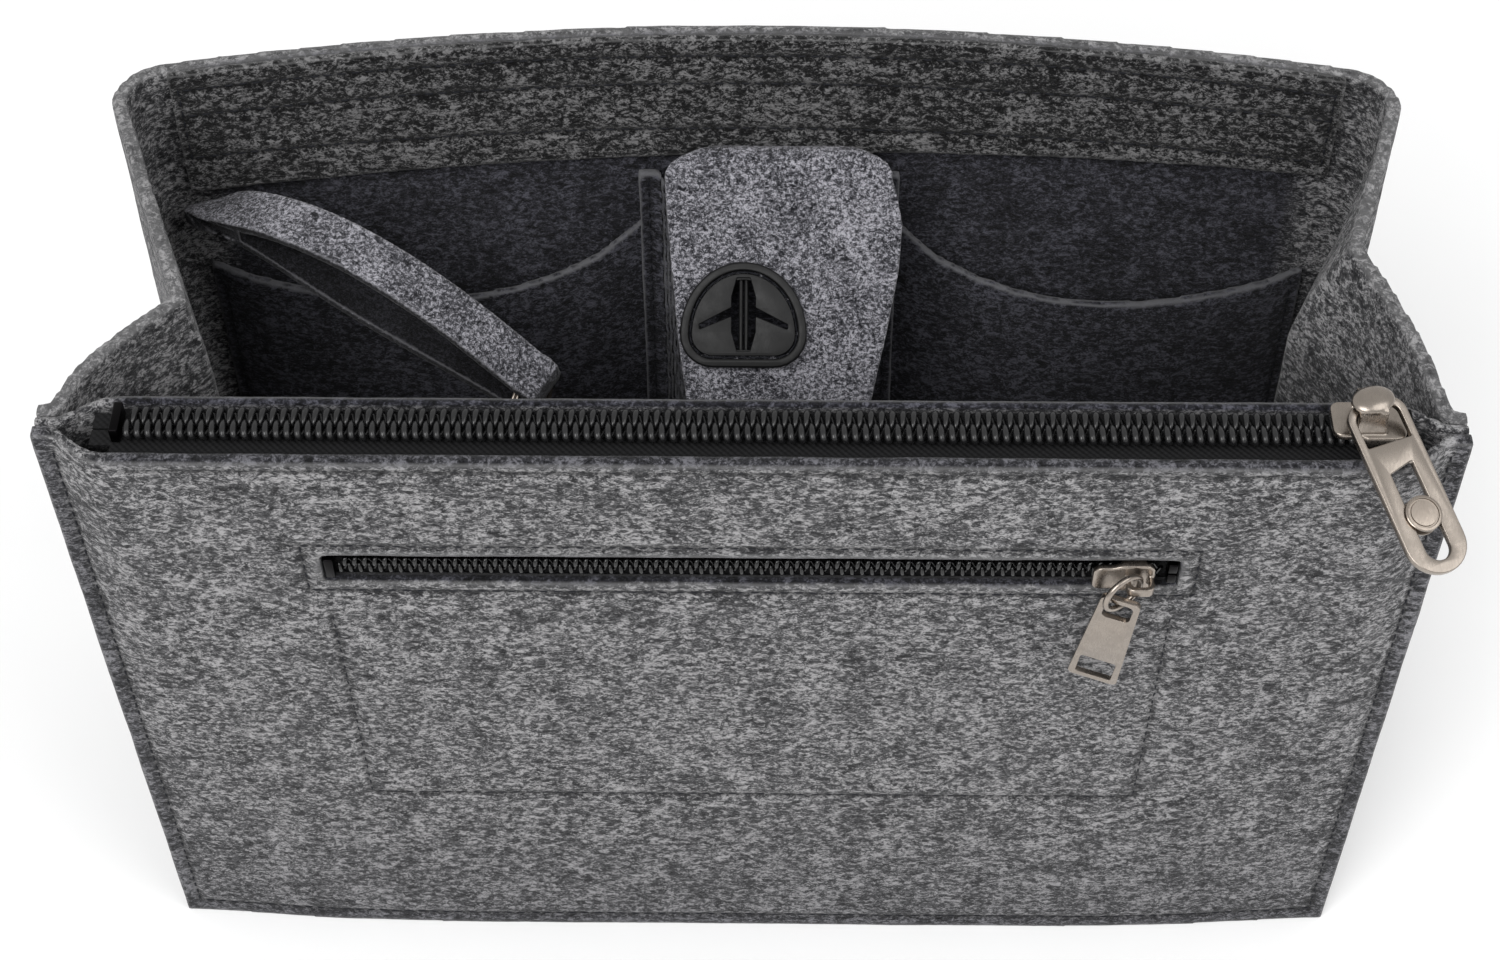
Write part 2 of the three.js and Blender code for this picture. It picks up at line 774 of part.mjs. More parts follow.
// Zips: a row of teeth on a spine, its spine towards +Y and the teeth reaching past the middle line
function comb(start, end, pitch, width, reach, spine, phase) {
  const tooth = pitch / 2 - gap;
  const count = Math.floor((end - start) / pitch - phase);
  const teeth = Array.from({ length: count }, (_, i) => start + (i + phase) * pitch).flatMap((x) => [
    [x, width - spine], [x, -reach], [x + tooth, -reach], [x + tooth, width - spine]]);
  return outline([[start, width], [start, width - spine], ...teeth, [end, width - spine], [end, width]]);
}

const tapeTop = chainLow - gap;
const legX = half - tapeLeg;
const mainFrom = -(half - mainStart);
const mainTo = half - mainEnd;

function mainTape(name, side, face) {
  const low = tapeTop - tapeDrop;
  const slit = (side * tapeSlit) / 2;
  const inside = side * tapeThick;
  const section = [[slit, tapeTop], [face(tapeTop), tapeTop], [face(low), low], [face(low) - inside, low],
    [face(tapeTop) - inside, tapeTop - tapeThick], [slit, tapeTop - tapeThick]];
  const end = half - tapeEnd;
  const edges = [slit, side * (mainHalf + gap)].sort((a, b) => a - b);
  const top = box(at(-end, edges[0], tapeTop - tapeThick), at(end, edges[1], tapeTop));
  place(name, join(barAlongX(side > 0 ? section.reverse() : section, -legX, legX), top), cloth);
}

function mainZip() {
  mainTape('main_tape_front', -1, (z) => frontFace(legX, z) + felt + gap);
  mainTape('main_tape_rear', 1, (z) => dividerFace(legX, z) - gap);
  const side = (phase) => comb(mainFrom, mainTo, mainPitch, mainHalf, mainReach, mainSpine, phase);
  const rear = slab(side(1 / 2), chainLow, chainHigh);
  const front = slab(side(1), chainLow, chainHigh);
  front.applyMatrix4(new THREE.Matrix4().makeScale(1, -1, 1));
  place('main_coil_rear', rear, coilPlastic);
  place('main_coil_front', flipped(front), coilPlastic);
}

// Turns every face of a mirrored geometry back outwards
function flipped(geometry) {
  return facingOut(bare(geometry));
}

function mainStops() {
  const high = chainHigh + stopRise;
  const stop = (from, to, front, rear) => box(at(from, front, chainLow), at(to, rear, high));
  const first = mainFrom - gap;
  place('main_stop_bottom', stop(first - stopLength, first, -mainHalf, mainHalf), gunmetal);
  const from = half - mainRest + mainSliderLength / 2 + gap;
  const to = from + stopLength;
  place('main_stop_rear', stop(from, to, gap, mainHalf), gunmetal);
  place('main_stop_front', stop(from, to, -mainHalf, -gap), gunmetal);
}

// Sliders: a plate, wide towards +X, with a wall down each side of its wide part
function sliderShape(length, width) {
  const [l, w] = [length / 2, width / 2];
  const r = sliderRound;
  const taper = l - length * wallShare;
  const shape = new THREE.Shape();
  shape.moveTo(-l + r, -w * tailShare);
  shape.lineTo(taper - r, -w * tailShare);
  shape.lineTo(taper, -w);
  shape.lineTo(l - r, -w);
  shape.absarc(l - r, -w + r, r, -Math.PI / 2, 0);
  shape.absarc(l - r, w - r, r, 0, Math.PI / 2);
  shape.lineTo(taper, w);
  shape.lineTo(taper - r, w * tailShare);
  shape.lineTo(-l + r, w * tailShare);
  shape.absarc(-l + r, w * tailShare - r, r, Math.PI / 2, Math.PI);
  shape.absarc(-l + r, -w * tailShare + r, r, Math.PI, Math.PI * 1.5);
  return shape;
}

function sliderBody(length, width, low, plate, high) {
  const top = slab(sliderShape(length, width), plate, high, 3);
  const taper = length / 2 - length * wallShare;
  const end = length / 2 - sliderRound;
  const w = width / 2;
  const wall = (from, to) => box(at(taper, from, low), at(end, to, plate + sliderWall / 2));
  return [top, wall(-w, sliderWall - w), wall(w - sliderWall, w)];
}

// An arch across Y: feet either side of the span, its hole along X, standing on z = 0
function arch(span, inside, bar, width) {
  const reach = span / 2 + bar;
  const shape = roundedBox(2 * reach, 2 * (inside + bar), bridgeRound);
  shape.holes.push(roundedBox(span, 2 * inside, bridgeRound / 2));
  const geometry = slab(shape, -width / 2, width / 2, 3);
  geometry.rotateX(Math.PI / 2);
  geometry.rotateZ(Math.PI / 2);
  return cut(geometry, box(at(-reach, -reach, -2 * (inside + bar)), at(reach, reach, -sliderWall / 2)));
}

const mainX = half - mainRest;
const mainPlate = chainHigh + gap;
const mainTop = mainPlate + plateThick;

function mainSlider() {
  const parts = sliderBody(mainSliderLength, mainSliderWidth, chainLow, mainPlate, mainTop);
  const bridge = arch(bridgeSpan, bridgeInside, bridgeBar, bridgeWidth);
  bridge.translate(0, 0, mainTop);
  const solid = join(...parts, bridge);
  solid.translate(mainX, 0, 0);
  place('main_slider', solid, gunmetal);
  const high = tapeTop - tapeThick - gap;
  const lower = sliderShape(mainSliderLength, mainSliderWidth - 2 * sliderWall);
  const plate = slab(lower, high - plateThick, high, 3);
  plate.translate(mainX, 0, 0);
  place('main_slider_plate', plate, gunmetal);
}

// The pull: its own frame has the hinge along X and the pull towards -Y
const pull = new THREE.Group();
pull.position.set(mainX, 0, mainTop + bridgeInside - pullHang);
pull.rotation.set(degrees(pullLean), 0, degrees(pullSwing), 'ZXY');
insert.add(pull);

function pullShape() {
  const [w, top, low] = [pullWidth / 2, pullBar / 2, pullBar / 2 - pullLength];
  const shape = new THREE.Shape();
  shape.moveTo(-w, low + w);
  shape.absarc(0, low + w, w, Math.PI, 2 * Math.PI);
  shape.lineTo(w, top - pullRound);
  shape.absarc(w - pullRound, top - pullRound, pullRound, 0, Math.PI / 2);
  shape.absarc(-w + pullRound, top - pullRound, pullRound, Math.PI / 2, Math.PI);
  const eye = new THREE.Shape();
  const [ew, er] = [w - pullRim, pullRound - pullRim];
  eye.moveTo(-ew, top - pullBar - pullEye);
  eye.lineTo(ew, top - pullBar - pullEye);
  eye.absarc(ew - er, top - pullBar - er, er, 0, Math.PI / 2);
  eye.absarc(-ew + er, top - pullBar - er, er, Math.PI / 2, Math.PI);
  const window = new THREE.Shape();
  const ww = windowWidth / 2;
  window.moveTo(-ww, top - windowTop);
  window.lineTo(-ww, top - studPlace);
  window.absarc(0, top - studPlace, ww, Math.PI, 2 * Math.PI);
  window.lineTo(ww, top - windowTop);
  shape.holes.push(eye, window);
  return shape;
}

function mainPull() {
  place('main_pull', slab(pullShape(), -pullThick / 2, pullThick / 2, 8), gunmetal, pull);
  const core = pullThick / 2 + gap;
  const rim = core + studProud;
  const profile = [[0, -rim], [studRadius, -rim], [studRadius, -core], [studCore, -core],
    [studCore, core], [studRadius, core], [studRadius, rim], [0, rim]];
  const stud = new THREE.LatheGeometry(profile.map(([x, y]) => new THREE.Vector2(x, y)), 20);
  stud.rotateX(Math.PI / 2);
  stud.translate(0, pullBar / 2 - studPlace, 0);
  place('pull_stud', stud, steel, pull);
}

// Small zip: its own frame has X along the slot, Z up the panel and -Y outwards
const small = new THREE.Group();
small.position.set(0, slotY, slotLevel);
small.rotation.x = -slotSlope;
insert.add(small);
const slotX = slotWidth / 2;
const coilBack = gap - felt;
const coilFront = coilBack + smallThick;
const smallX = slotX - smallRest;

// A shape drawn in X and Z, standing between two distances in front of the panel's face
function standing(shape, low, high, segments) {
  const geometry = slab(shape, low, high, segments);
  geometry.rotateX(Math.PI / 2);
  return geometry;
}

function smallZip() {
  const reach = slotX + smallMargin;
  const end = slotX - smallEnd;
  const back = -felt - gap;
  for (const [name, side, phase] of [['upper', 1, 1 / 2], ['lower', -1, 1]]) {
    const edges = [(side * tapeSlit) / 2, side * smallTapeWidth].sort((a, b) => a - b);
    const tape = box(at(-reach, -back, edges[0]), at(reach, tapeThick - back, edges[1]));
    place(`small_tape_${name}`, tape, cloth, small);
    const teeth = comb(-end, end, smallPitch, smallHalf, smallReach, smallSpine, phase);
    const coil = standing(teeth, coilBack, coilFront);
    coil.applyMatrix4(new THREE.Matrix4().makeScale(1, 1, side));
    place(`small_coil_${name}`, flipped(coil), coilPlastic, small);
  }
}

function smallStops() {
  const from = slotX - smallEnd + gap;
  const to = slotX - 2 * gap;
  const stop = (left, right, low, high) => (
    box(at(left, -coilFront - stopRise, low), at(right, -coilBack, high)));
  place('small_stop_bottom', stop(-to, -from, -smallHalf, smallHalf), gunmetal, small);
  place('small_stop_upper', stop(from, to, gap, smallHalf), gunmetal, small);
  place('small_stop_lower', stop(from, to, -smallHalf, -gap), gunmetal, small);
}

const smallFace = coilFront + gap;
const smallTop = smallFace + smallPlate;

function smallSlider() {
  const parts = sliderBody(smallSliderLength, smallSliderWidth, coilBack, smallFace, smallTop);
  const bridge = arch(archSpan, archInside, archBar, archWide);
  bridge.rotateZ(Math.PI / 2);
  bridge.translate(archOffset, 0, smallTop);
  const solid = join(...parts, bridge);
  solid.rotateX(Math.PI / 2);
  solid.translate(smallX, 0, 0);
  place('small_slider', solid, gunmetal, small);
  const front = -felt - gap - tapeThick - gap;
  const plate = standing(sliderShape(smallSliderLength, smallSliderWidth), front - smallPlate, front, 3);
  plate.translate(smallX, 0, 0);
  place('small_slider_plate', plate, gunmetal, small);
}

// The link: a round ring under the arch, opened outwards about Z; the tab hangs from its lower left
const link = new THREE.Group();
link.position.set(smallX + archOffset, -(smallTop + 2 * gap + linkWire / 2), 0);
link.rotation.z = degrees(linkOpen);
small.add(link);
const linkSide = Math.sqrt(linkRadius ** 2 - linkRaise ** 2);

function smallLink() {
  const ring = new THREE.TorusGeometry(linkRadius, linkWire / 2, 8, 24);
  ring.rotateX(Math.PI / 2);
  ring.translate(-linkSide, 0, linkRaise);
  place('small_link', ring, gunmetal, link);
}

const tab = new THREE.Group();
tab.position.set(
  -linkSide - linkRadius * Math.sin(degrees(linkHang)),
  0,
  linkRaise - linkRadius * Math.cos(degrees(linkHang)),
);
tab.rotation.set(degrees(tabTilt), degrees(tabLean), -degrees(linkOpen + tabYaw), 'ZYX');
link.add(tab);

function trapezium(top, low, topHalf, lowHalf, radius) {
  const corner = (x, y, turn) => spread(turn, turn + Math.PI / 2, 3).map((a) => [
    x + radius * Math.cos(a), y + radius * Math.sin(a)]);
  return outline([
    ...corner(-lowHalf + radius, low + radius, Math.PI),
    ...corner(lowHalf - radius, low + radius, Math.PI * 1.5),
    ...corner(topHalf - radius, top - radius, 0),
    ...corner(-topHalf + radius, top - radius, Math.PI / 2),
  ]);
}

function smallPullTab() {
  const top = linkWire / 2 + 2 * gap + tabBar;
  const low = top - tabLength;
  const halfAt = (y) => (tabTop + ((tabBottom - tabTop) * (top - y)) / tabLength) / 2;
  const shape = trapezium(top, low, tabTop / 2, tabBottom / 2, tabRound);
  const hook = top - tabBar;
  shape.holes.push(trapezium(hook, hook - tabHook, tabHookWidth / 2, tabHookWidth / 2, tabRound));
  const window = low + tabWindowRim;
  const windowHalf = halfAt(window) - tabWindowRim;
  shape.holes.push(trapezium(window + tabWindow, window, windowHalf, windowHalf, tabRound / 2));
  place('small_pull_tab', standing(shape, -tabThick / 2, tabThick / 2), gunmetal, tab);
}

// Pocket bag: a thin cloth behind the slot, sewn to the front panel along its four edges
function pocketBag() {
  const reach = bagWidth / 2;
  const face = (x, z) => {
    const across = quarterSine((reach - Math.abs(x)) / bagEdge);
    const up = quarterSine(Math.min(z - bagBottom, bagTop - z) / bagEdge);
    return frontFace(x, z) + felt + gap + bagSwell * across * up;
  };
  const side = [...spread(reach, reach - bagEdge, 3), ...spread(reach - bagEdge, 0, 4).slice(1, -1)];
  const xs = [...side.map((x) => -x), 0, ...side.reverse()];
  const rows = () => [
    ...spread(bagBottom, bagBottom + bagEdge, 3),
    ...spread(bagBottom + bagEdge, bagTop - bagEdge, 3).slice(1, -1),
    ...spread(bagTop - bagEdge, bagTop, 3),
  ];
  place('front_pocket_bag', panel(xs, rows, face, lining), cloth);
}

frontPanel();
dividerPanel();
bodyPanel();
basePanel();
rearBand();
slipPocketPanel();
phonePocket();
phoneFlapRoot();
phoneFlap();
cablePort();
keyStrap();
keyRing();
mainZip();
mainStops();
mainSlider();
mainPull();
smallZip();
smallStops();
smallSlider();
smallLink();
smallPullTab();
pocketBag();
insert.position.y = -(frontY + bodyDepth / 2);

export default group;
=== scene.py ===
"""Felt handbag organizer: the felt, stitching, zips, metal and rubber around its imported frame."""

import json
import math
from contextlib import contextmanager
from functools import partial

import bmesh
import bpy
import numpy as np
from mathutils import Matrix, Vector, noise
from mathutils.bvhtree import BVHTree
from mathutils.kdtree import KDTree


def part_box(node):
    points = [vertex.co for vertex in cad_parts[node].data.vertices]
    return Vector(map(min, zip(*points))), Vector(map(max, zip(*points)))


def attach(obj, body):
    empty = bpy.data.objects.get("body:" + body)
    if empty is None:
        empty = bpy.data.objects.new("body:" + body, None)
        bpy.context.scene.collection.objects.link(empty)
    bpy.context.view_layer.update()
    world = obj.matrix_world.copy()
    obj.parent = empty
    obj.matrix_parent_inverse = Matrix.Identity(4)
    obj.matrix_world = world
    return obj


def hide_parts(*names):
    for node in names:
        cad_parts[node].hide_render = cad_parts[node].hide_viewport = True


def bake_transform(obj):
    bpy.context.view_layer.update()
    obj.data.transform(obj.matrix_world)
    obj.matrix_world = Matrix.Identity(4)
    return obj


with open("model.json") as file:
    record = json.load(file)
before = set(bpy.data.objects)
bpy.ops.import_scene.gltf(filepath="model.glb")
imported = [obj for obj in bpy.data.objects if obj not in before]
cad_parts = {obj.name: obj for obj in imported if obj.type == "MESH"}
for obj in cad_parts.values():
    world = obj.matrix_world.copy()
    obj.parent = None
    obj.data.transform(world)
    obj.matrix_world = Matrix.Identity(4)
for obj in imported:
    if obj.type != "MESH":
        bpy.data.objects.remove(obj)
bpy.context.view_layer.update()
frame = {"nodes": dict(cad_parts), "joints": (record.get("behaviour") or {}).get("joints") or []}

bl_info = {
    "name": "Felt Bag Organizer",
    "version": (1, 0, 0),
    "blender": (4, 5, 0),
    "location": "3D View > Sidebar > Organizer",
    "description": "A felt insert for a handbag, with zipped, slip and phone pockets",
    "category": "Object",
}

MM = 0.001
JOINTS = {joint["name"]: joint for joint in frame["joints"]}

# Places on the object, in millimetres
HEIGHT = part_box("front_panel")[1].z / MM
MIDDLE = (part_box("main_coil_rear")[0].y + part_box("main_coil_front")[1].y) / 2 / MM
SIDE = 136.5
ZIP_LEFT, ZIP_RIGHT = -121, 118
SLOT_TOP, SLOT_MIDDLE, SLOT_FOOT, SLOT_END = 154.7, 147, 139.3, 90.5
BAG_SIDE, BAG_TOP, BAG_FOOT = 87, 131, 60
BAND_ROWS = (HEIGHT - 4.4, HEIGHT - 11.6, HEIGHT - 23.6)
PORT = Vector((-2.5, -31, 0))

FLAP_SLOPE, PULL_LEAN = math.radians(41), math.radians(21)
ROW_STEP = 0.5
SKIN_GROWTH = 0.3 * MM


def paint(red, green, blue):
    """A colour written as it shows on a screen, from 0 to 255, in Blender's linear values."""
    shares = [value / 255 for value in (red, green, blue)]
    return tuple(s / 12.92 if s <= 0.04045 else ((s + 0.055) / 1.055) ** 2.4 for s in shares)


def colour_property(name, description, shade):
    return bpy.props.FloatVectorProperty(
        name=name, description=description, subtype="COLOR", size=3, min=0, max=1,
        default=paint(*shade))


def length_property(name, description, millimetres):
    return bpy.props.FloatProperty(
        name=name, description=description, unit="LENGTH", subtype="DISTANCE", min=0,
        default=millimetres * MM)


class FeltSettings(bpy.types.PropertyGroup):
    """Sizes and colours of the felt"""

    pale: colour_property("Pale fibres", "Colour of the pale wool in the outer felt", (154, 153, 154))
    middle: colour_property("Ground", "Colour of most of the outer felt", (64, 64, 66))
    deep: colour_property("Dark fibres", "Colour of the dark wool in the outer felt", (14, 14, 17))
    # The lining wools are darker felt, and partly painted shade inside the bag.
    lining_pale: colour_property("Lining pale fibres", "Pale wool in the pocket felt", (86, 86, 95))
    lining_middle: colour_property("Lining ground", "Colour of most of the pocket felt", (31, 31, 37))
    lining_deep: colour_property("Lining dark fibres", "Dark wool in the pocket felt", (8, 8, 11))
    flock: length_property("Flock size", "Width of one tuft of wool", 1.15)
    hem: length_property("Seam dip", "How deep a row of stitches sinks", 0.45)


class StitchSettings(bpy.types.PropertyGroup):
    """Sizes and colour of the sewing thread"""

    pitch: length_property("Pitch", "Distance from one stitch to the next", 3.1)
    length: length_property("Length", "Length of one stitch", 2.3)
    thread: length_property("Thread", "Thickness of the thread", 0.42)
    colour: colour_property("Colour", "Colour of the thread", (30, 31, 36))


class ZipSettings(bpy.types.PropertyGroup):
    """Sizes and colours of the zips"""

    main_pitch: length_property("Top zip pitch", "Distance between the top zip's loops", 2.08)
    small_pitch: length_property("Pocket zip pitch", "Distance between the pocket zip's loops", 2.04)
    main_wire: length_property("Top zip filament", "Thickness of the top zip's coiled filament", 0.96)
    small_wire: length_property("Pocket zip filament", "Thickness of the pocket zip's filament", 0.7)
    coil: colour_property("Coil", "Colour of the coiled filament", (25, 25, 26))
    tape: colour_property("Tape", "Colour of the woven tape", (9, 9, 10))


class MetalSettings(bpy.types.PropertyGroup):
    """Colours and edges of the metal and rubber parts"""

    plating: colour_property("Plating", "Colour of the warm grey plating", (158, 149, 140))
    nickel: colour_property("Nickel", "Colour of the stud", (160, 150, 140))
    rubber: colour_property("Rubber", "Colour of the cable port", (9, 9, 10))
    edge: length_property("Edge", "Rounding of the stamped parts' edges", 0.22)


class StageSettings(bpy.types.PropertyGroup):
    """The floor, the light and the camera"""

    floor: colour_property("Floor", "Colour of the floor", (253, 253, 253))
    level: bpy.props.FloatProperty(
        name="Light", description="Level of the soft light", default=1.2, min=0)
    lens: bpy.props.FloatProperty(
        name="Lens", description="Focal length in millimetres", default=62.9, min=1)


def settings():
    return bpy.context.scene


def opaque(values):
    """Three numbers as a colour with full alpha."""
    return (*values, 1)


# Nodes
def add(tree, kind, inputs=(), **options):
    """A new node; inputs maps a socket's name or number to a value or to a socket that feeds it."""
    node = tree.nodes.new(kind)
    for option, value in options.items():
        setattr(node, option, value)
    for key, value in dict(inputs).items():
        if isinstance(value, bpy.types.NodeSocket):
            tree.links.new(value, node.inputs[key])
        else:
            node.inputs[key].default_value = value
    return node


def result(tree, kind, inputs=(), **options):
    """The first output of a new node."""
    return add(tree, kind, inputs, **options).outputs[0]


def maths(tree, operation, *values, clamp=False):
    return result(tree, "ShaderNodeMath", enumerate(values), operation=operation, use_clamp=clamp)


def vector_maths(tree, operation, *values):
    return result(tree, "ShaderNodeVectorMath", enumerate(values), operation=operation)


def stretched(tree, value, low, high, to_low=0.0, to_high=1.0):
    """Value's range from low to high, spread over to_low to to_high and held there."""
    inputs = {0: value, 1: low, 2: high, 3: to_low, 4: to_high}
    return result(tree, "ShaderNodeMapRange", inputs, clamp=True)


def noise_of(tree, vector, scale, detail=2.0, roughness=0.5, distortion=0.0, output=0):
    inputs = {"Vector": vector, "Scale": scale, "Detail": detail, "Roughness": roughness,
              "Distortion": distortion}
    return add(tree, "ShaderNodeTexNoise", inputs).outputs[output]


def in_millimetres(tree):
    """The place on the object, in millimetres."""
    place = add(tree, "ShaderNodeTexCoord").outputs["Object"]
    return result(tree, "ShaderNodeVectorMath", {0: place, "Scale": 1 / MM}, operation="SCALE")


def new_group(name, kind, inputs, outputs):
    """A node group and the sockets at its two ends, which are None once it has been built.

    inputs and outputs map a socket's name to its default, or to its type where it has none.
    """
    tree = bpy.data.node_groups.get(name)
    if tree:
        return tree, None, None
    tree = bpy.data.node_groups.new(name, kind)
    for way, sockets in (("INPUT", inputs), ("OUTPUT", outputs)):
        for label, value in sockets.items():
            typed = isinstance(value, str)
            of_type = "NodeSocket" + (value if typed else type(value).__name__.title())
            made = tree.interface.new_socket(name=label, in_out=way, socket_type=of_type)
            if not typed:
                made.default_value = value
    return tree, tree.nodes.new("NodeGroupInput").outputs, tree.nodes.new("NodeGroupOutput").inputs


def heather_group():
    """Wool felt: tufts drawn out along the cloth, dark flecks, loose pale fibres and fine grain."""
    tree, start, end = new_group(
        "Heathered felt", "ShaderNodeTree",
        {"Flock": 1.1, "Draw": 2.4, "Shift": 0.0}, {"Shade": "Float", "Height": "Float"})
    if start is None:
        return tree
    do, vector = partial(maths, tree), partial(vector_maths, tree)
    noisy, spread = partial(noise_of, tree), partial(stretched, tree)
    point = vector("ADD", in_millimetres(tree), start["Shift"])
    squeeze = do("DIVIDE", 1.0, start["Draw"])
    along = result(tree, "ShaderNodeCombineXYZ", {0: squeeze, 1: squeeze, 2: 1.0})
    wander = noisy(point, 0.22, 2.0, 0.5, output=1)
    bent = vector("MULTIPLY_ADD", wander, (1.4, 1.4, 1.4), vector("MULTIPLY", point, along))
    rate = do("DIVIDE", 1.0, start["Flock"])
    half_rate = do("MULTIPLY", rate, 0.62)
    tufts = spread(noisy(bent, rate, 5.0, 0.66, 0.35), 0.34, 0.66)
    grain = spread(noisy(bent, do("MULTIPLY", rate, 2.9), 3.0, 0.6), 0.3, 0.7)
    cloud = spread(noisy(point, 0.11, 3.0, 0.55), 0.36, 0.64)
    shifted = vector("ADD", bent, (31.7, 11.3, 7.9))
    patches = spread(noisy(shifted, do("MULTIPLY", rate, 0.13), 2.0, 0.5), 0.4, 0.62, 0.55, 1.0)
    flecks = spread(noisy(shifted, half_rate, 5.0, 0.78, 0.5), 0.51, 0.66)
    flecks = do("MULTIPLY", flecks, patches)
    line = noisy(vector("ADD", bent, (5.1, 77.0, 3.0)), half_rate, 2.0, 0.4, 1.6)
    fibres = spread(do("ABSOLUTE", do("SUBTRACT", line, 0.5)), 0.0, 0.018, 1.0, 0.0)
    shade = do("MULTIPLY", tufts, 0.56)
    for part, share in ((grain, 0.43), (cloud, 0.15), (fibres, 0.20), (flecks, -0.62)):
        shade = do("MULTIPLY_ADD", part, share, shade)
    height = do("MULTIPLY_ADD", tufts, 0.5, do("MULTIPLY", grain, 0.5))
    tree.links.new(do("ADD", shade, 0.02, clamp=True), end["Shade"])
    tree.links.new(do("MULTIPLY_ADD", fibres, 0.4, height), end["Height"])
    return tree


def weave_group():
    """Woven tape: fine diagonal ribs, with a little unevenness between the threads."""
    tree, start, end = new_group(
        "Twill weave", "ShaderNodeTree",
        {"Threads per mm": 1.6}, {"Thread": "Float", "Height": "Float"})
    if start is None:
        return tree
    do = partial(maths, tree)
    place = in_millimetres(tree)
    split = add(tree, "ShaderNodeSeparateXYZ", {0: place}).outputs
    across = do("ADD", split["Y"], split["Z"])
    turn = do("MULTIPLY", start["Threads per mm"], math.tau)
    first = do("SINE", do("MULTIPLY", do("ADD", split["X"], across), turn))
    second = do("SINE", do("MULTIPLY", do("MULTIPLY", across, 2.0), turn))
    rib = do("MULTIPLY_ADD", do("MULTIPLY", first, second), 0.25, 0.5)
    thread = do("MULTIPLY_ADD", noise_of(tree, place, 1.3), 0.5, rib, clamp=True)
    tree.links.new(thread, end["Thread"])
    tree.links.new(do("MULTIPLY_ADD", first, 0.5, 0.5), end["Height"])
    return tree


def handled_group():
    """Marks of handling: faint streaks, dull patches and pits."""
    tree, start, end = new_group(
        "Handling marks", "ShaderNodeTree",
        {"Streaks per mm": 3.0, "Low": 0.25, "High": 0.4},
        {"Roughness": "Float", "Tone": "Float", "Height": "Float"})
    if start is None:
        return tree
    do = partial(maths, tree)
    place = in_millimetres(tree)
    drawn = vector_maths(tree, "MULTIPLY", place, (1.0, 0.25, 0.25))
    streak = noise_of(tree, drawn, start["Streaks per mm"], 3.0, 0.6)
    patch = noise_of(tree, place, 0.35, 3.0)
    both = do("MULTIPLY_ADD", streak, 0.5, do("MULTIPLY", patch, 0.5))
    worn = stretched(tree, both, 0.35, 0.65)
    span = do("SUBTRACT", start["High"], start["Low"])
    tree.links.new(do("MULTIPLY_ADD", worn, span, start["Low"]), end["Roughness"])
    tree.links.new(worn, end["Tone"])
    tree.links.new(streak, end["Height"])
    return tree


def placed(tree, group, **values):
    """The outputs of a node group in a material, with its own values."""
    node = add(tree, "ShaderNodeGroup", node_tree=group)
    for key, value in values.items():
        node.inputs[key.replace("_", " ")].default_value = value
    return node.outputs


def new_material(name, constants):
    """A new material's node tree and its shader's sockets, some of them set."""
    material = bpy.data.materials.new(name)
    material.use_nodes = True
    tree = material.node_tree
    tree.nodes.clear()
    shader = add(tree, "ShaderNodeBsdfPrincipled", constants)
    end = add(tree, "ShaderNodeOutputMaterial", {"Surface": shader.outputs[0]})
    end.is_active_output = True
    return tree, shader.inputs


def ramp(tree, value, stops):
    """Colours along a value: stops lists (place, colour)."""
    node = add(tree, "ShaderNodeValToRGB", {0: value})
    band = node.color_ramp
    while len(band.elements) < len(stops):
        band.elements.new(0.5)
    for element, (place, colour) in zip(band.elements, stops):
        element.position = place
        element.color = opaque(colour)
    return node.outputs[0]


def mixed(tree, share, first, second):
    """A mix of two colours, the first a socket."""
    if not isinstance(second, bpy.types.NodeSocket):
        second = opaque(second)
    inputs = {0: share, 6: first, 7: second}
    return add(tree, "ShaderNodeMix", inputs, data_type="RGBA").outputs[2]


def attribute(tree, name):
    node = add(tree, "ShaderNodeAttribute", attribute_type="GEOMETRY", attribute_name=name)
    return node.outputs["Fac"]


def bumped(tree, shader, height, strength, distance):
    inputs = {"Height": height, "Strength": strength, "Distance": distance * MM}
    tree.links.new(result(tree, "ShaderNodeBump", inputs), shader["Normal"])


def felt_material(name, wools, dark=None, shift=0.0, draw=1.6, size=0.9, rim_highlight_share=0.38):
    """Felt with painted shade along its seams and a painted highlight on its outer edges; where its
    mark for dark wool and painted shade is set, the dark wools show.

    Both sets of wools are colours: pale, middle and deep.
    """
    tree, shader = new_material(name, {
        "Roughness": 0.93, "Specular IOR Level": 0.12, "Sheen Weight": 0.10, "Sheen Roughness": 0.55})
    pale, middle, deep = wools
    flock = settings().felt.flock / MM * size
    wool = placed(tree, heather_group(), Flock=flock, Draw=draw, Shift=shift)
    dusk = tuple(0.45 * m + 0.55 * d for m, d in zip(middle, deep))
    colour = ramp(tree, wool["Shade"], [(0.14, deep), (0.33, dusk), (0.52, middle), (0.84, pale)])
    # Where marked, the dark wools show: painted shade on the rear wall's inside, in the slot, on the
    # lower front and under the strap, and a darker cut top beside the zip.
    if dark:
        inner = ramp(tree, wool["Shade"], [(0.18, dark[2]), (0.55, dark[1]), (0.95, dark[0])])
        colour = mixed(tree, attribute(tree, "inner"), colour, inner)
    # Painted shade in the seams: beside each row of stitches the felt darkens towards its deep wool.
    seam = stretched(tree, attribute(tree, "seam"), 0.1, 1.0, 0.0, 0.72)
    colour = mixed(tree, seam, colour, tuple(d * 0.35 for d in deep))
    # Painted highlight: the felt turns pale along its outer edges.
    edge = maths(tree, "MULTIPLY", stretched(tree, attribute(tree, "rim"), 0.35, 0.95), rim_highlight_share)
    colour = mixed(tree, edge, colour, tuple(0.4 * p + 0.1 for p in pale))
    tree.links.new(colour, shader["Base Color"])
    bumped(tree, shader, wool["Height"], 0.55, 0.45)


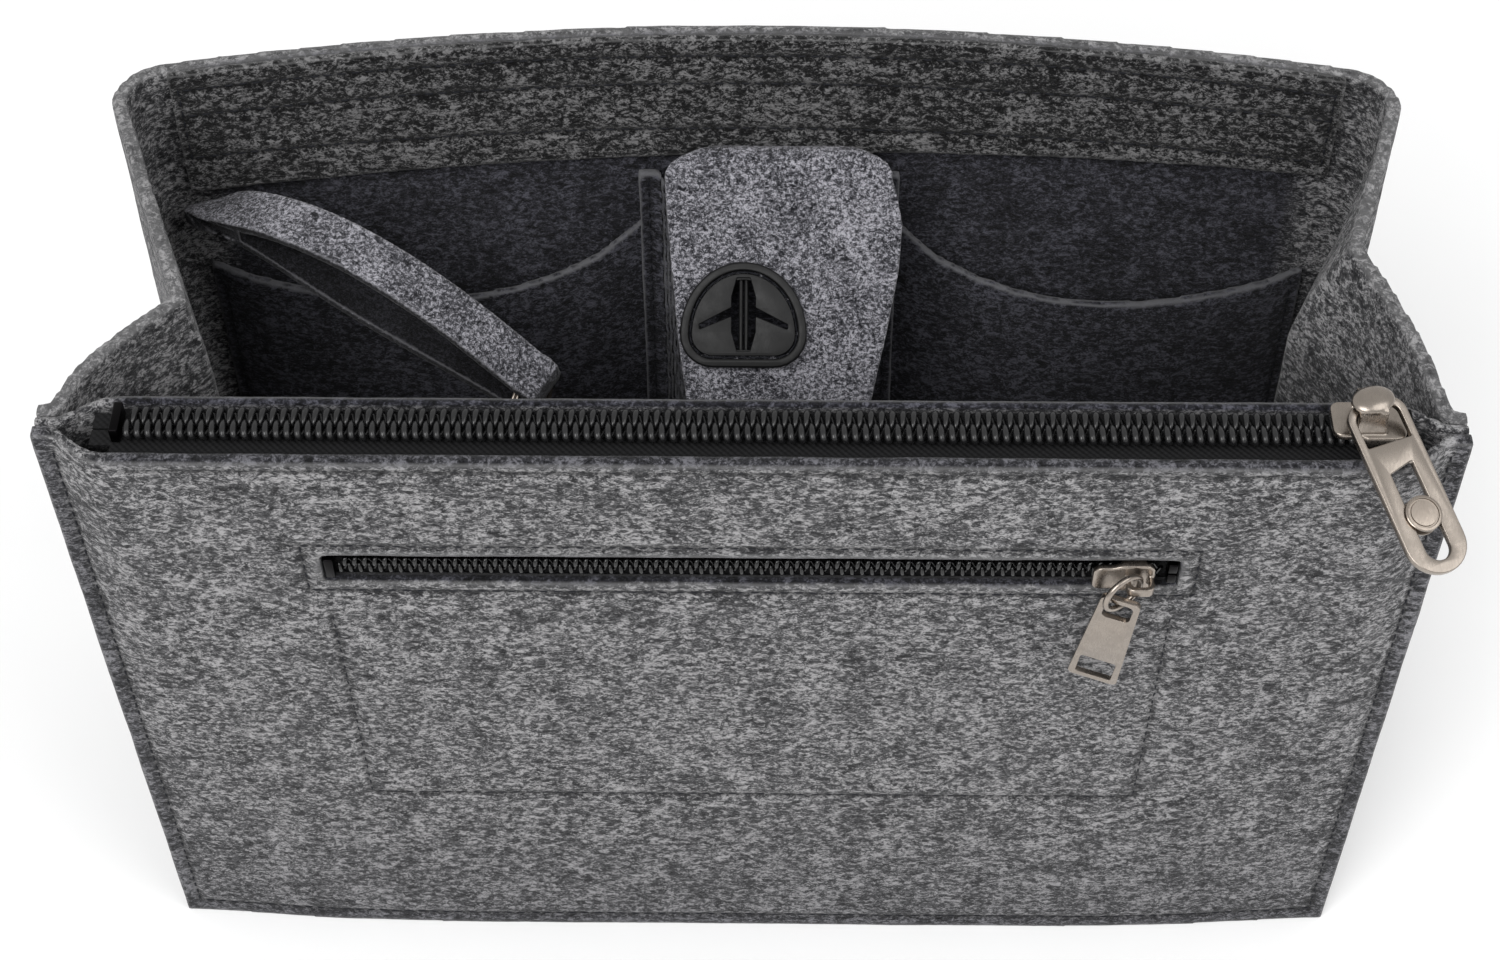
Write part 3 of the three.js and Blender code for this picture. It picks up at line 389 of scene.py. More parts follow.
def cloth_material(name, colour):
    tree, shader = new_material(name, {"Roughness": 0.8, "Specular IOR Level": 0.25})
    weave = placed(tree, weave_group(), Threads_per_mm=0.72)
    stops = [(0.35, tuple(c * 0.4 for c in colour)), (0.95, tuple(c * 2.6 + 0.001 for c in colour))]
    tree.links.new(ramp(tree, weave["Thread"], stops), shader["Base Color"])
    bumped(tree, shader, weave["Height"], 0.6, 0.25)


def smooth_material(name, colour, metallic, low, high, streaks, bump, specular=0.5):
    """Plated metal, nylon or rubber: one body colour with handling marks in its gloss."""
    tree, shader = new_material(name, {"Metallic": metallic, "Specular IOR Level": specular})
    marks = placed(tree, handled_group(), Streaks_per_mm=streaks, Low=low, High=high)
    stops = [(0.0, colour), (1.0, tuple(c * 0.82 for c in colour))]
    tree.links.new(ramp(tree, marks["Tone"], stops), shader["Base Color"])
    tree.links.new(marks["Roughness"], shader["Roughness"])
    bumped(tree, shader, marks["Height"], bump, 0.05)


def material(name):
    """The named material, made when it is first asked for."""
    if name in bpy.data.materials:
        return bpy.data.materials[name]
    scene = settings()
    felt, zips, metal = scene.felt, scene.zips, scene.metal
    outer = [felt.pale, felt.middle, felt.deep]
    inner = [felt.lining_pale, felt.lining_middle, felt.lining_deep]
    # The band: a darker copy of the outer wools, painted shade.
    painted_shade_wools = [[share * a for a in wool] for share, wool in zip((0.6, 0.2, 0.2), outer)]
    # Flap and strap: a lighter copy of the outer wools is painted light on their upturned faces, and a
    # darker copy of the lining wools is painted shadow under the strap.
    painted_light_wools = [(1.33 * r, 1.33 * g, 1.44 * b) for r, g, b in outer]
    painted_shadow_wools = [[0.4 * a for a in wool] for wool in inner]
    # The pocket zip's coil: a darker copy of the coil colour, painted shade.
    painted_shade_coil = [0.22 * c for c in zips.coil]
    make, *values = {
        "Grey felt": (felt_material, outer, inner),
        "Fine grey felt": (felt_material, painted_light_wools, painted_shadow_wools, 17.0, 1.5, 0.48),
        "Shaded felt": (felt_material, painted_shade_wools, inner, 23.0),
        # Pockets in the lining wools: darker felt, partly painted shade.
        "Charcoal felt": (felt_material, inner, None, 41.0, 1.6, 0.9, 0.8),
        "Black tape": (cloth_material, zips.tape),
        "Blackened steel": (smooth_material, paint(22, 21, 22), 1, 0.3, 0.45, 4.0, 0.1),
        "Nylon coil": (smooth_material, zips.coil, 0, 0.2, 0.34, 2.0, 0.2),
        "Fine nylon coil": (smooth_material, painted_shade_coil, 0, 0.14, 0.26, 2.0, 0.2),
        "Warm plating": (smooth_material, metal.plating, 1, 0.22, 0.36, 4.0, 0.12),
        "Bright nickel": (smooth_material, metal.nickel, 1, 0.24, 0.36, 4.0, 0.1),
        "Matt rubber": (smooth_material, metal.rubber, 0, 0.4, 0.58, 6.0, 0.3, 0.32),
        "Dark thread": (smooth_material, scene.stitch.colour, 0, 0.6, 0.8, 8.0, 0.6, 0.2),
    }[name]
    make(name, *values)
    return bpy.data.materials[name]


# Meshes
def linked(name, mesh):
    piece = bpy.data.objects.new(name, mesh)
    bpy.context.scene.collection.objects.link(piece)
    return piece


@contextmanager
def edited(mesh):
    """A mesh open for changes, which it takes on at the end."""
    build = bmesh.new()
    build.from_mesh(mesh)
    yield build
    build.to_mesh(mesh)
    build.free()


def clothe(mesh, finish, sharp=None):
    """Gives a mesh its material and, past an angle in degrees, sharp edges between smooth faces."""
    mesh.materials.clear()
    mesh.materials.append(material(finish))
    if sharp:
        mesh.shade_smooth()
        mesh.set_sharp_from_angle(angle=math.radians(sharp))


def take_over(piece, body, slot, *nodes):
    """Puts a piece on a body in the place of CAD nodes, which it hides; the colour slot is not used.
    """
    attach(piece, body)
    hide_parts(*nodes)


def welded(name, *nodes):
    """A merged copy of CAD nodes as one object at the origin."""
    mesh = bpy.data.meshes.new(name)
    with edited(mesh) as build:
        for node in nodes:
            build.from_mesh(frame["nodes"][node].data)
        bmesh.ops.remove_doubles(build, verts=build.verts, dist=MM / 500)
    return linked(name, mesh)


def baked(piece):
    """Turns an object's modifiers into its plain mesh."""
    graph = bpy.context.evaluated_depsgraph_get()
    graph.update()
    mesh = bpy.data.meshes.new_from_object(piece.evaluated_get(graph))
    piece.modifiers.clear()
    old = piece.data
    piece.data = mesh
    bpy.data.meshes.remove(old)
    mesh.name = piece.name
    return piece


def vectors_of(items, name):
    flat = np.empty(len(items) * 3, np.float32)
    items.foreach_get(name, flat)
    return flat.reshape(-1, 3).astype(float)


def surface(mesh):
    """The points of a mesh and the normals at them."""
    return vectors_of(mesh.vertices, "co"), vectors_of(mesh.vertex_normals, "vector")


def move_to(mesh, points):
    mesh.vertices.foreach_set("co", points.astype(np.float32).ravel())
    mesh.update()


def swell(mesh, distance):
    """Moves every point of a mesh outwards."""
    points, normals = surface(mesh)
    move_to(mesh, points + normals * distance)


def relaxed(piece, rounds):
    """Smooths what a piece's modifiers make, and keeps it."""
    smooth = piece.modifiers.new("Relax", "SMOOTH")
    smooth.factor = 0.5
    smooth.iterations = rounds
    return baked(piece)


def mark(mesh, name, values):
    layer = mesh.attributes.get(name) or mesh.attributes.new(name, "FLOAT", "POINT")
    layer.data.foreach_set("value", np.clip(values, 0, 1).astype(np.float32))


def rim_of(mesh):
    """How strongly each point lies on an outer edge, from 0 to 1."""
    reach = 6
    points, normals = surface(mesh)
    pairs = np.empty(len(mesh.edges) * 2, np.int32)
    mesh.edges.foreach_get("vertices", pairs)
    a, b = pairs.reshape(-1, 2).T
    count = np.bincount(a, minlength=len(points)) + np.bincount(b, minlength=len(points))
    middle = np.zeros_like(points)
    for axis in range(3):
        for here, there in ((a, b), (b, a)):
            middle[:, axis] += np.bincount(here, points[there, axis], len(points))
    middle /= count[:, None]
    step = np.linalg.norm(points[a] - points[b], axis=1).mean()
    return np.clip(((points - middle) * normals).sum(1) / step * reach, 0, 1)


def felt_skin(name, voxel, finish, *nodes):
    """Felt over CAD nodes: an even mesh with softly rounded edges, shaded smooth.

    Nodes that meet in one cloth are grown together first, and the growth is taken off again.
    """
    piece = welded(name, *nodes)
    joined = len(nodes) > 1
    remesh = piece.modifiers.new("Even", "REMESH")
    remesh.use_smooth_shade = True
    if joined:
        swell(piece.data, SKIN_GROWTH)
        remesh.mode = "VOXEL"
        remesh.voxel_size = voxel * MM
    else:
        longest = max(piece.dimensions) / MM
        remesh.mode = "SHARP"
        remesh.octree_depth = math.ceil(math.log2(longest / voxel / 0.95))
        remesh.scale = longest / voxel / 2 ** remesh.octree_depth
        remesh.use_remove_disconnected = False
    mesh = relaxed(piece, 3).data
    if joined:
        swell(mesh, -SKIN_GROWTH)
    clothe(mesh, finish)
    points, normals = surface(mesh)
    waves = ((14 * MM, 0.16), (2.2 * MM, 0.05))
    lift = [sum(noise.noise(Vector(p) / length) * height for length, height in waves)
            for p in points]
    move_to(mesh, points + normals * (np.array(lift) * MM)[:, None])
    # Painted highlight along the felt's outer edges, from how convex each point is.
    mark(mesh, "rim", rim_of(mesh))
    # The marks for painted seam shade and for dark wool with painted shade start empty.
    for flag in ("seam", "inner"):
        mark(mesh, flag, np.zeros(len(points)))
    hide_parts(*nodes)
    return piece


def tree_of(mesh):
    return BVHTree.FromPolygons([v.co for v in mesh.vertices], [p.vertices for p in mesh.polygons])


def dense(corners, step):
    """Points along a line through the corners, a step apart, with both ends."""
    line = [Vector(corners[0])]
    for start, end in zip(corners, corners[1:]):
        start, end = Vector(start), Vector(end)
        count = max(1, round((end - start).length / step))
        line += [start.lerp(end, i / count) for i in range(1, count + 1)]
    return line


def rows_on(piece, y, way, *lines):
    """Lines of (x, z) corners in millimetres, thrown along Y from y onto a piece.

    Gives a row of (place, normal) in metres for each line.
    """
    tree, rows = tree_of(piece.data), []
    for line in lines:
        starts = dense([(x, y, z) for x, z in line], ROW_STEP)
        hits = [tree.ray_cast(start * MM, Vector((0, way, 0)))[:2] for start in starts]
        rows.append([hit for hit in hits if hit[0] is not None])
    return rows


def sink(piece, rows, depth):
    """Draws a skin in along rows of stitches, and marks the painted shade in each seam."""
    places = [place for row in rows for place, _ in row]
    near = KDTree(len(places))
    for i, place in enumerate(places):
        near.insert(place, i)
    near.balance()
    mesh = piece.data
    points, normals = surface(mesh)
    distance = np.array([near.find(Vector(p))[2] for p in points]) / MM
    dip = np.exp(-((distance / 0.85) ** 2))
    shoulder = np.exp(-(((distance - 2.4) / 1.1) ** 2))
    move_to(mesh, points + normals * ((shoulder * 0.16 - dip) * depth)[:, None])
    old = np.empty(len(points), np.float32)
    mesh.attributes["seam"].data.foreach_get("value", old)
    mark(mesh, "seam", np.maximum(old, np.exp(-((distance / 0.8) ** 2))))


def end_tree(tree, geometry, start, end):
    """Geometry nodes: real, smooth and in its material."""
    real = result(tree, "GeometryNodeRealizeInstances", {"Geometry": geometry})
    soft = result(tree, "GeometryNodeSetShadeSmooth", {"Geometry": real})
    inputs = {"Geometry": soft, "Material": start["Material"]}
    tree.links.new(result(tree, "GeometryNodeSetMaterial", inputs), end["Geometry"])


def wire_of(tree, curve, sides, width, scale=1.0):
    """Geometry nodes: a round wire of a width along a curve."""
    inputs = {"Resolution": sides, "Radius": maths(tree, "MULTIPLY", width, 0.5)}
    ring = result(tree, "GeometryNodeCurvePrimitiveCircle", inputs)
    inputs = {"Curve": curve, "Profile Curve": ring, "Scale": scale, "Fill Caps": True}
    return result(tree, "GeometryNodeCurveToMesh", inputs)


def stitch_tree():
    """Geometry nodes: an arched stitch on each point, turned along the row and up from the cloth."""
    tree, start, end = new_group("Row of stitches", "GeometryNodeTree", {
        "Geometry": "Geometry", "Length": 2.3 * MM, "Thread": 0.4 * MM, "Seed": 3,
        "Material": "Material"}, {"Geometry": "Geometry"})
    if start is None:
        return tree
    do, node = partial(maths, tree), partial(result, tree)
    reach = do("MULTIPLY", start["Length"], 0.5)
    low, high = do("MULTIPLY", start["Thread"], -0.9), do("MULTIPLY", start["Thread"], 1.1)
    ends = [node("ShaderNodeCombineXYZ", {0: x, 2: z}) for x, z in (
        (do("MULTIPLY", reach, -1.0), low), (0.0, high), (reach, low))]
    arch = node("GeometryNodeCurveQuadraticBezier", {
        "Resolution": 6, "Start": ends[0], "Middle": ends[1], "End": ends[2]})
    along, rise = (node("GeometryNodeInputNamedAttribute", {"Name": name},
                        data_type="FLOAT_VECTOR") for name in ("along", "rise"))
    turn = node("FunctionNodeAlignRotationToVector", {"Vector": along}, axis="X")
    inputs = {"Rotation": turn, "Vector": rise}
    turn = node("FunctionNodeAlignRotationToVector", inputs, axis="Z", pivot_axis="X")
    inputs = {0: (0, 0, -0.09), 1: (0, 0, 0.09), "Seed": start["Seed"]}
    skew = node("FunctionNodeRandomValue", inputs, data_type="FLOAT_VECTOR")
    tilt = node("FunctionNodeEulerToRotation", {0: skew})
    inputs = {"Rotation": turn, "Rotate By": tilt}
    both = node("FunctionNodeRotateRotation", inputs, rotation_space="LOCAL")
    row = node("GeometryNodeInstanceOnPoints", {
        "Points": start["Geometry"], "Instance": wire_of(tree, arch, 6, start["Thread"]),
        "Rotation": both})
    end_tree(tree, row, start, end)
    return tree


def grown(piece, tree, values):
    """Runs a node tree on a piece with its inputs set by their identifiers, and keeps the mesh."""
    modifier = piece.modifiers.new(tree.name, "NODES")
    modifier.node_group = tree
    for item in tree.interface.items_tree:
        if item.item_type == "SOCKET" and item.in_out == "INPUT" and item.name in values:
            modifier[item.identifier] = values[item.name]
    return baked(piece)


def sewn(name, rows, body, sunk, pitch=None):
    """Stitches along rows of (place, normal), as one piece on a body."""
    stitch = settings().stitch
    pitch = pitch or stitch.pitch
    places, along, rise = [], [], []
    for row in rows:
        line = [place for place, _ in row]
        walked = np.cumsum([0] + [(b - a).length for a, b in zip(line, line[1:])])
        for distance in np.arange(pitch / 2, walked[-1], pitch):
            i = min(int(np.searchsorted(walked, distance)), len(line) - 2)
            place, normal = row[i]
            way = line[min(i + 1, len(line) - 1)] - line[max(i - 1, 0)]
            if way.length < 1e-9:
                continue
            places.append(place - normal * sunk)
            along.append(way.normalized())
            rise.append(normal)
    mesh = bpy.data.meshes.new(name)
    mesh.from_pydata(places, [], [])
    for label, vectors in (("along", along), ("rise", rise)):
        layer = mesh.attributes.new(label, "FLOAT_VECTOR", "POINT")
        layer.data.foreach_set("vector", np.array(vectors, np.float32).ravel())
    piece = grown(linked(name, mesh), stitch_tree(), {
        "Length": stitch.length, "Thread": stitch.thread, "Seed": 3,
        "Material": material("Dark thread")})
    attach(piece, body)


def coil_tree():
    """Geometry nodes: one filament wound in flat loops along X, its heads towards +Y."""
    tree, start, end = new_group("Zip coil", "GeometryNodeTree", {
        "Geometry": "Geometry", "Turns": 100, "Pitch": 2 * MM, "Wire": 1 * MM, "Head": 1 * MM,
        "Spine": -3 * MM, "Height": 3 * MM, "Steps": 16, "Material": "Material"},
        {"Geometry": "Geometry"})
    if start is None:
        return tree
    do, node = partial(maths, tree), partial(result, tree)
    count = do("MULTIPLY", start["Turns"], start["Steps"])
    curve = node("GeometryNodeMeshToCurve", {"Mesh": node("GeometryNodeMeshLine", {"Count": count})})
    turns = do("DIVIDE", node("GeometryNodeInputIndex"), start["Steps"])
    angle = do("MULTIPLY", turns, math.tau)
    cosine, sine = do("COSINE", angle), do("SINE", angle)
    flat = do("MULTIPLY", do("SIGN", sine), do("POWER", do("ABSOLUTE", sine), 0.7))
    lag = do("MULTIPLY", cosine, 0.12)
    centre = do("MULTIPLY", do("ADD", start["Head"], start["Spine"]), 0.5)
    reach = do("MULTIPLY", do("SUBTRACT", start["Head"], start["Spine"]), 0.5)
    reach = do("MULTIPLY_ADD", start["Wire"], -0.5, reach)
    stand = do("SUBTRACT", start["Height"], do("MULTIPLY", start["Wire"], 1.5))
    place = node("ShaderNodeCombineXYZ", {
        0: do("MULTIPLY", do("ADD", turns, lag), start["Pitch"]),
        1: do("MULTIPLY_ADD", cosine, reach, centre),
        2: do("MULTIPLY", flat, do("MULTIPLY", stand, 0.5))})
    wound = node("GeometryNodeSetPosition", {"Geometry": curve, "Position": place})
    bead = stretched(tree, cosine, -0.2, 0.85, 1.5, 1.0)
    end_tree(tree, wire_of(tree, wound, 7, start["Wire"], bead), start, end)
    return tree


def coil(node, place, pitch, wire, half, height, reach, turned, finish):
    """One side of a chain over its CAD node. place takes the chain's own frame to the object's."""
    low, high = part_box(node)
    phase = 0.5 if turned else 0.0
    turns = int(((high.x - low.x) / MM - wire / MM) / (pitch / MM) - phase)
    name = node + "_wire"
    mesh = bpy.data.meshes.new(name)
    mesh.from_pydata([(0, 0, 0)], [], [])
    piece = grown(linked(name, mesh), coil_tree(), {
        "Turns": turns, "Pitch": pitch, "Wire": wire, "Head": reach * MM, "Spine": -half * MM,
        "Height": height * MM, "Steps": 16, "Material": material(finish)})
    shift = Matrix.Translation((low.x + wire / 2 + phase * pitch, 0, 0))
    mirror = Matrix.Diagonal((1, -1, 1, 1)) if turned else Matrix.Identity(4)
    piece.data.transform(place @ shift @ mirror)
    if turned:
        piece.data.flip_normals()
    take_over(piece, "shell", "coil_plastic", node)


def stamped(node, ending, body, finish, edge=None):
    """A CAD node's shape with rounded edges, as its own piece."""
    piece = welded(node + ending, node)
    with edited(piece.data) as build:
        bmesh.ops.dissolve_limit(
            build, angle_limit=math.radians(2), verts=build.verts, edges=build.edges)
    bevel = piece.modifiers.new("Edges", "BEVEL")
    bevel.width = edge * MM if edge else settings().metal.edge
    bevel.segments = 3
    bevel.limit_method = "ANGLE"
    bevel.angle_limit = math.radians(40)
    bevel.use_clamp_overlap = True
    clothe(baked(piece).data, finish, 35)
    take_over(piece, body, "gunmetal", node)


def flap_frame():
    """The flap's own frame: its hinge along X, the cloth towards -Y and its upper face towards +Z."""
    hinge = Vector(JOINTS["phone_flap_lift"]["pos_m"])
    return Matrix.Translation(hinge) @ Matrix.Rotation(FLAP_SLOPE, 4, "X")


def slot_frame():
    """The pocket zip's frame: X along the slot, Z up the panel and -Y outwards."""
    low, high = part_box("small_coil_upper")
    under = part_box("small_coil_lower")[0]
    axis = Vector(JOINTS["small_link_turn"]["axis"])
    slope = math.atan2(-axis.y, axis.z)
    middle = Vector((0, (low.y + high.y) / 2, (under.z + high.z) / 2))
    return Matrix.Translation(middle) @ Matrix.Rotation(slope, 4, "X")


def pull_hinge():
    """The place of the long pull's hinge, and its turn about the vertical."""
    hinge = JOINTS["main_pull_swing"]
    turn = math.atan2(-hinge["axis"][1], -hinge["axis"][0])
    return Vector(hinge["pos_m"]), Matrix.Rotation(turn, 4, "Z")


class INSERT_OT_walls(bpy.types.Operator):
    """Make the front panel, divider, rear wall with gussets, and base"""

    bl_idname = "insert.walls"
    bl_label = "Felt walls"

    def execute(self, context):
        depth, top = context.scene.felt.hem, HEIGHT - 2.3
        mouth = [(ZIP_LEFT, top), (ZIP_RIGHT, top)]
        front = felt_skin("front_panel_felt", 1.06, "Grey felt", "front_panel")
        *rows, top_row = rows_on(
            front, -110, 1,
            [(-SIDE, top - 2), (-SIDE, 4.6), (SIDE, 4.6), (SIDE, top - 2)],
            [(-SLOT_END - 4, SLOT_TOP), (SLOT_END, SLOT_TOP), (SLOT_END, SLOT_FOOT),
             (-SLOT_END, SLOT_FOOT), (-SLOT_END, SLOT_TOP)],
            [(-BAG_SIDE, BAG_TOP), (-BAG_SIDE, BAG_FOOT), (BAG_SIDE, BAG_FOOT), (BAG_SIDE, BAG_TOP)],
            mouth)
        sink(front, rows, depth)
        sink(front, [top_row], depth * 0.5)
        sewn("front_stitches", rows + [top_row], "shell", depth * 0.75)
        self.shade_top(front.data, 0.8, 0.6, 1)
        divider = felt_skin("divider_felt", 1.3, "Grey felt", "divider_panel")
        self.shade_top(divider.data, 1.0, 0.0, -1)
        behind = rows_on(divider, 40, -1, mouth)
        sink(divider, behind, depth * 0.5)
        sewn("divider_stitches", behind, "shell", depth * 0.3)
        body = felt_skin("body_felt", 1.5, "Grey felt", "body_panel")
        self.shade_inside(body.data)
        lines = [[(-128, z), (128, z)] for z in BAND_ROWS]
        lines += [[(x, 12), (x, 126)] for x in (-126, 126)]
        lines += [[(x, 24), (x, 147)] for x in (-24.8, 30.8)]
        rows = rows_on(body, 120, -1, *lines, [(-126, 12), (126, 12)])
        gussets = [[(x, HEIGHT - 3.5), (x, 150)] for x in (-131.5, 131.5)]
        edges = rows_on(body, 20, 1, *gussets)
        sink(body, rows, depth)
        sewn("rear_stitches", rows + edges, "shell", depth * 0.75)
        base = felt_skin("base_felt", 1.3, "Grey felt", "base_panel")
        for piece, flat in ((front, (0.28, 0.182)), (divider, (0.28, 0.182)),
                            (body, (0.46, 0.182)), (base, (0.266, 0.1))):
            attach(piece, "shell")
        return {"FINISHED"}

    def shade_top(self, mesh, share, margin, bright):
        """The cut top beside the zip and the margins outside the seams are darker than the faces; the
        slot's cut faces and the lower front get painted shade, and along the top the painted rim
        highlight stays only on one face's edge.
        """
        points, normals = surface(mesh)
        (x, _, z), up = (points / MM).T, normals[:, 2]
        x = np.abs(x)
        near_zip = np.clip((128 - x) / 6, 0, 1)
        top = share * near_zip * (z > HEIGHT - 1.2) * np.clip(up * 2 + 0.2, 0, 1)
        outside = margin * np.clip((x - 136.4) / 0.8, 0, 1)
        # Darker below the bottom seam, and painted shade growing towards the bottom.
        low = np.clip((4.4 - z) / 0.8, 0, 1) * 0.5 + np.clip((60 - z) / 60, 0, 1) * 0.6
        # Painted shade on the slot's cut faces.
        slot = (x < 88) & (np.abs(z - SLOT_MIDDLE) < 5) & (np.abs(normals[:, 1]) < 0.75)
        mark(mesh, "inner", np.max([top, outside, margin * low, slot * share * 1.2], axis=0))
        edge = rim_of(mesh)
        # Along the top the painted rim highlight is cut back, except at the edge of the face that
        # bright picks.
        highlight_cut_back = (z > HEIGHT - 1.6) & (normals[:, 1] * bright > -0.2)
        mark(mesh, "rim", np.where(highlight_cut_back, edge * 0.15, edge))

    def shade_inside(self, mesh):
        """Painted shade on the rear wall's inner face, up to its band: the dark wools show there."""
        points, normals = surface(mesh)
        x, y, _ = (points / MM).T
        facing = np.clip(-normals[:, 1] * 2 - 0.4, 0, 1)
        within = np.clip((y - 10) / 10, 0, 1) * np.clip((126 - np.abs(x)) / 5, 0, 1)
        mark(mesh, "inner", facing * within)


class INSERT_OT_pockets(bpy.types.Operator):
    """Make the band, the slip pockets and the phone pocket on the rear wall"""

    bl_idname = "insert.pockets"
    bl_label = "Inner pockets"

    def execute(self, context):
        depth = context.scene.felt.hem
        low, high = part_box("phone_pocket")
        left, right = low.x / MM + 2.2, high.x / MM - 2.2
        foot, top = low.z / MM + 2.2, high.z / MM - 1
        band = [[(-127.2, z), (127.2, z)] for z in BAND_ROWS]
        band += [[(x, HEIGHT - 3), (x, 158)] for x in (-127.2, 127.2)]
        slip = [[(x, 12), (x, 124)] for x in (-125.6, 125.6)] + [[(-125.6, 12), (125.6, 12)]]
        phone = [[(left, top), (left, foot), (right, foot), (right, top)]]
        for name, node, voxel, wool, flat, lines in (
            ("band", "rear_band", 0.8, "Shaded felt", (0.258, 0.031), band),
            ("slip_pocket", "slip_pocket_panel", 1.1, "Charcoal felt", (0.262, 0.122), slip),
            ("phone_pocket", "phone_pocket", 0.9, "Charcoal felt", (0.072, 0.13), phone),
        ):
            piece = felt_skin(name + "_felt", voxel, wool, node)
            rows = rows_on(piece, 0, 1, *lines)
            sink(piece, rows, depth)
            sewn(name + "_stitches", rows, "shell", depth * 0.75)
            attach(piece, "shell")
        return {"FINISHED"}


class INSERT_OT_flap(bpy.types.Operator):
    """Make the phone flap with its cable port"""

    bl_idname = "insert.flap"
    bl_label = "Phone flap"

    def execute(self, context):
        flap = felt_skin("flap_felt", 0.6, "Fine grey felt", "phone_flap_root", "phone_flap")
        leaf = flap_frame()
        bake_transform(flap)
        self.port(leaf)
        self.sew_port(leaf)
        return {"FINISHED"}

    def port(self, leaf):
        """The rubber port: a rim, a face cut by a slot and slits, a neck, a flange and two lips."""
        right = [(1.5, 8.3), (2.7, 4), (2.7, 1.6), (10, -2.2), (10, -3.3), (2.7, -0.3), (2.7, -3.8),
                 (1.5, -8.2)]
        cross = right[:1] + [(-x, y) for x, y in right] + right[:0:-1]
        plates = [
            (port_outline(0), [port_outline(2.0)], 1.6, 0.5, 2.1),
            (port_outline(2.6), [rounded(cross, [0.25] * 16, 3)], 1.3, 0.22, 1.85),
            (port_outline(3.15), [port_outline(4.05)], 3.6, 0.2, 0.2),
            (port_outline(1.9), [port_outline(4.05)], 1.0, 0.3, -1.8),
        ]
        for near, far in ((-1.1, -0.12), (0.12, 1.1)):
            lip = [(near, -8.9), (far, -8.9), (far, 8.9), (near, 8.9)]
            plates.append((rounded(lip, [0.2] * 4, 3), [], 1.3, 0.4, 0.75))
        port = linked("cable_port_rubber", bpy.data.meshes.new("cable_port_rubber"))
        with edited(port.data) as build:
            for outer, holes, thick, edge, level in plates:
                plate = cut_plate("plate", outer, holes, thick, edge, "Matt rubber", level)
                build.from_mesh(plate.data)
                bpy.data.objects.remove(plate)
        clothe(port.data, "Matt rubber")
        port.data.transform(leaf @ Matrix.Translation(PORT * MM))
        take_over(port, "phone_flap", "rubber", "cable_port")

    def sew_port(self, leaf):
        """Short stitches in the groove of the port's flange."""
        line = port_outline(2.3)
        centre = PORT + Vector((0, 0, 2))
        corners = [(*point, 0) for point in line + line[:1]]
        up = (leaf.to_3x3() @ Vector((0, 0, 1))).normalized()
        row = [(leaf @ ((point + centre) * MM), up) for point in dense(corners, ROW_STEP)]
        sewn("port_stitches", [row], "phone_flap", 0, 2.7 * MM)


class INSERT_OT_strap(bpy.types.Operator):
    """Make the key strap and its split ring"""

    bl_idname = "insert.strap"
    bl_label = "Key strap"

    def execute(self, context):
        strap = felt_skin("strap_felt", 0.6, "Fine grey felt", "key_strap")
        self.shade_strap(strap)
        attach(strap, "key_strap")
        self.ring()
        return {"FINISHED"}

    def shade_strap(self, strap):
        """Painted shade on the strap: under its upper layer and on faces turned down the dark wools
        show, and the upper face stays pale.
        """
        up, dark = Vector((0, 0, 1)), []
        itself = tree_of(strap.data)
        for point, normal in zip(*surface(strap.data)):
            covered = itself.ray_cast(Vector(point) + up * MM, up)[0] is not None
            # Painted shade: full where the strap's upper layer covers it, and growing as a face turns
            # down.
            dark.append(1.0 if covered else 1.5 - 2.5 * normal[2])
        mark(strap.data, "inner", dark)

    def ring(self):
        """A split ring: two turns of wire side by side, with a step across between them."""
        low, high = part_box("key_ring")
        centre, up = (low + high) / 2, Vector((0, 0, 1))
        wide = Vector(JOINTS["key_ring_swing"]["axis"]).normalized()
        away = wide.cross(up).normalized()
        wire, radius = 0.46 * MM, (high.z - low.z) / 2 - 0.9 * MM
        line = []
        for i in range(121):
            turn = 2 * math.tau * i / 120
            side = (min(1, max(0, (turn - 5.9) / 0.75)) * 2 - 1) * wire
            round_here = (wide * math.cos(turn) + up * math.sin(turn)) * radius
            line.append(centre + round_here + away * side)
        piece = tube("key_ring_wire", line, wire)
        take_over(piece, "key_ring", "gunmetal", "key_ring")


def mesh_along(name, lines, cyclic, **options):
    """The mesh of a bevelled curve along lines of points in metres."""
    curve = bpy.data.curves.new(name, "CURVE")
    for option, value in options.items():
        setattr(curve, option, value)
    for line in lines:
        spline = curve.splines.new("POLY")
        spline.points.add(len(line) - 1)
        spline.use_cyclic_u = cyclic
        for point, place in zip(spline.points, line):
            point.co = (*place, 1)
    holder = linked(name + "_path", curve)
    mesh = bpy.data.meshes.new_from_object(holder)
    bpy.data.objects.remove(holder)
    return mesh


def tube(name, line, radius):
    """A round plated wire along a line of points."""
    mesh = mesh_along(name, [line], False, dimensions="3D", bevel_depth=radius,
                      bevel_resolution=3, use_fill_caps=True)
    clothe(mesh, "Warm plating", 180)
    return linked(name, mesh)


def rounded(corners, radii, steps=9):
    """A closed outline with each corner rounded off by its own radius."""
    line = []
    count = len(corners)
    for i, (corner, radius) in enumerate(zip(corners, radii)):
        here = Vector(corner)
        before = (Vector(corners[i - 1]) - here).normalized()
        after = (Vector(corners[(i + 1) % count]) - here).normalized()
        half_angle = before.angle(after) / 2
        middle = here + (before + after).normalized() * radius / math.sin(half_angle)
        start = here + before * radius / math.tan(half_angle) - middle
        finish = here + after * radius / math.tan(half_angle) - middle
        turn = start.angle_signed(finish)
        line += [middle + Matrix.Rotation(-turn * k / steps, 2) @ start for k in range(steps + 1)]
    return line


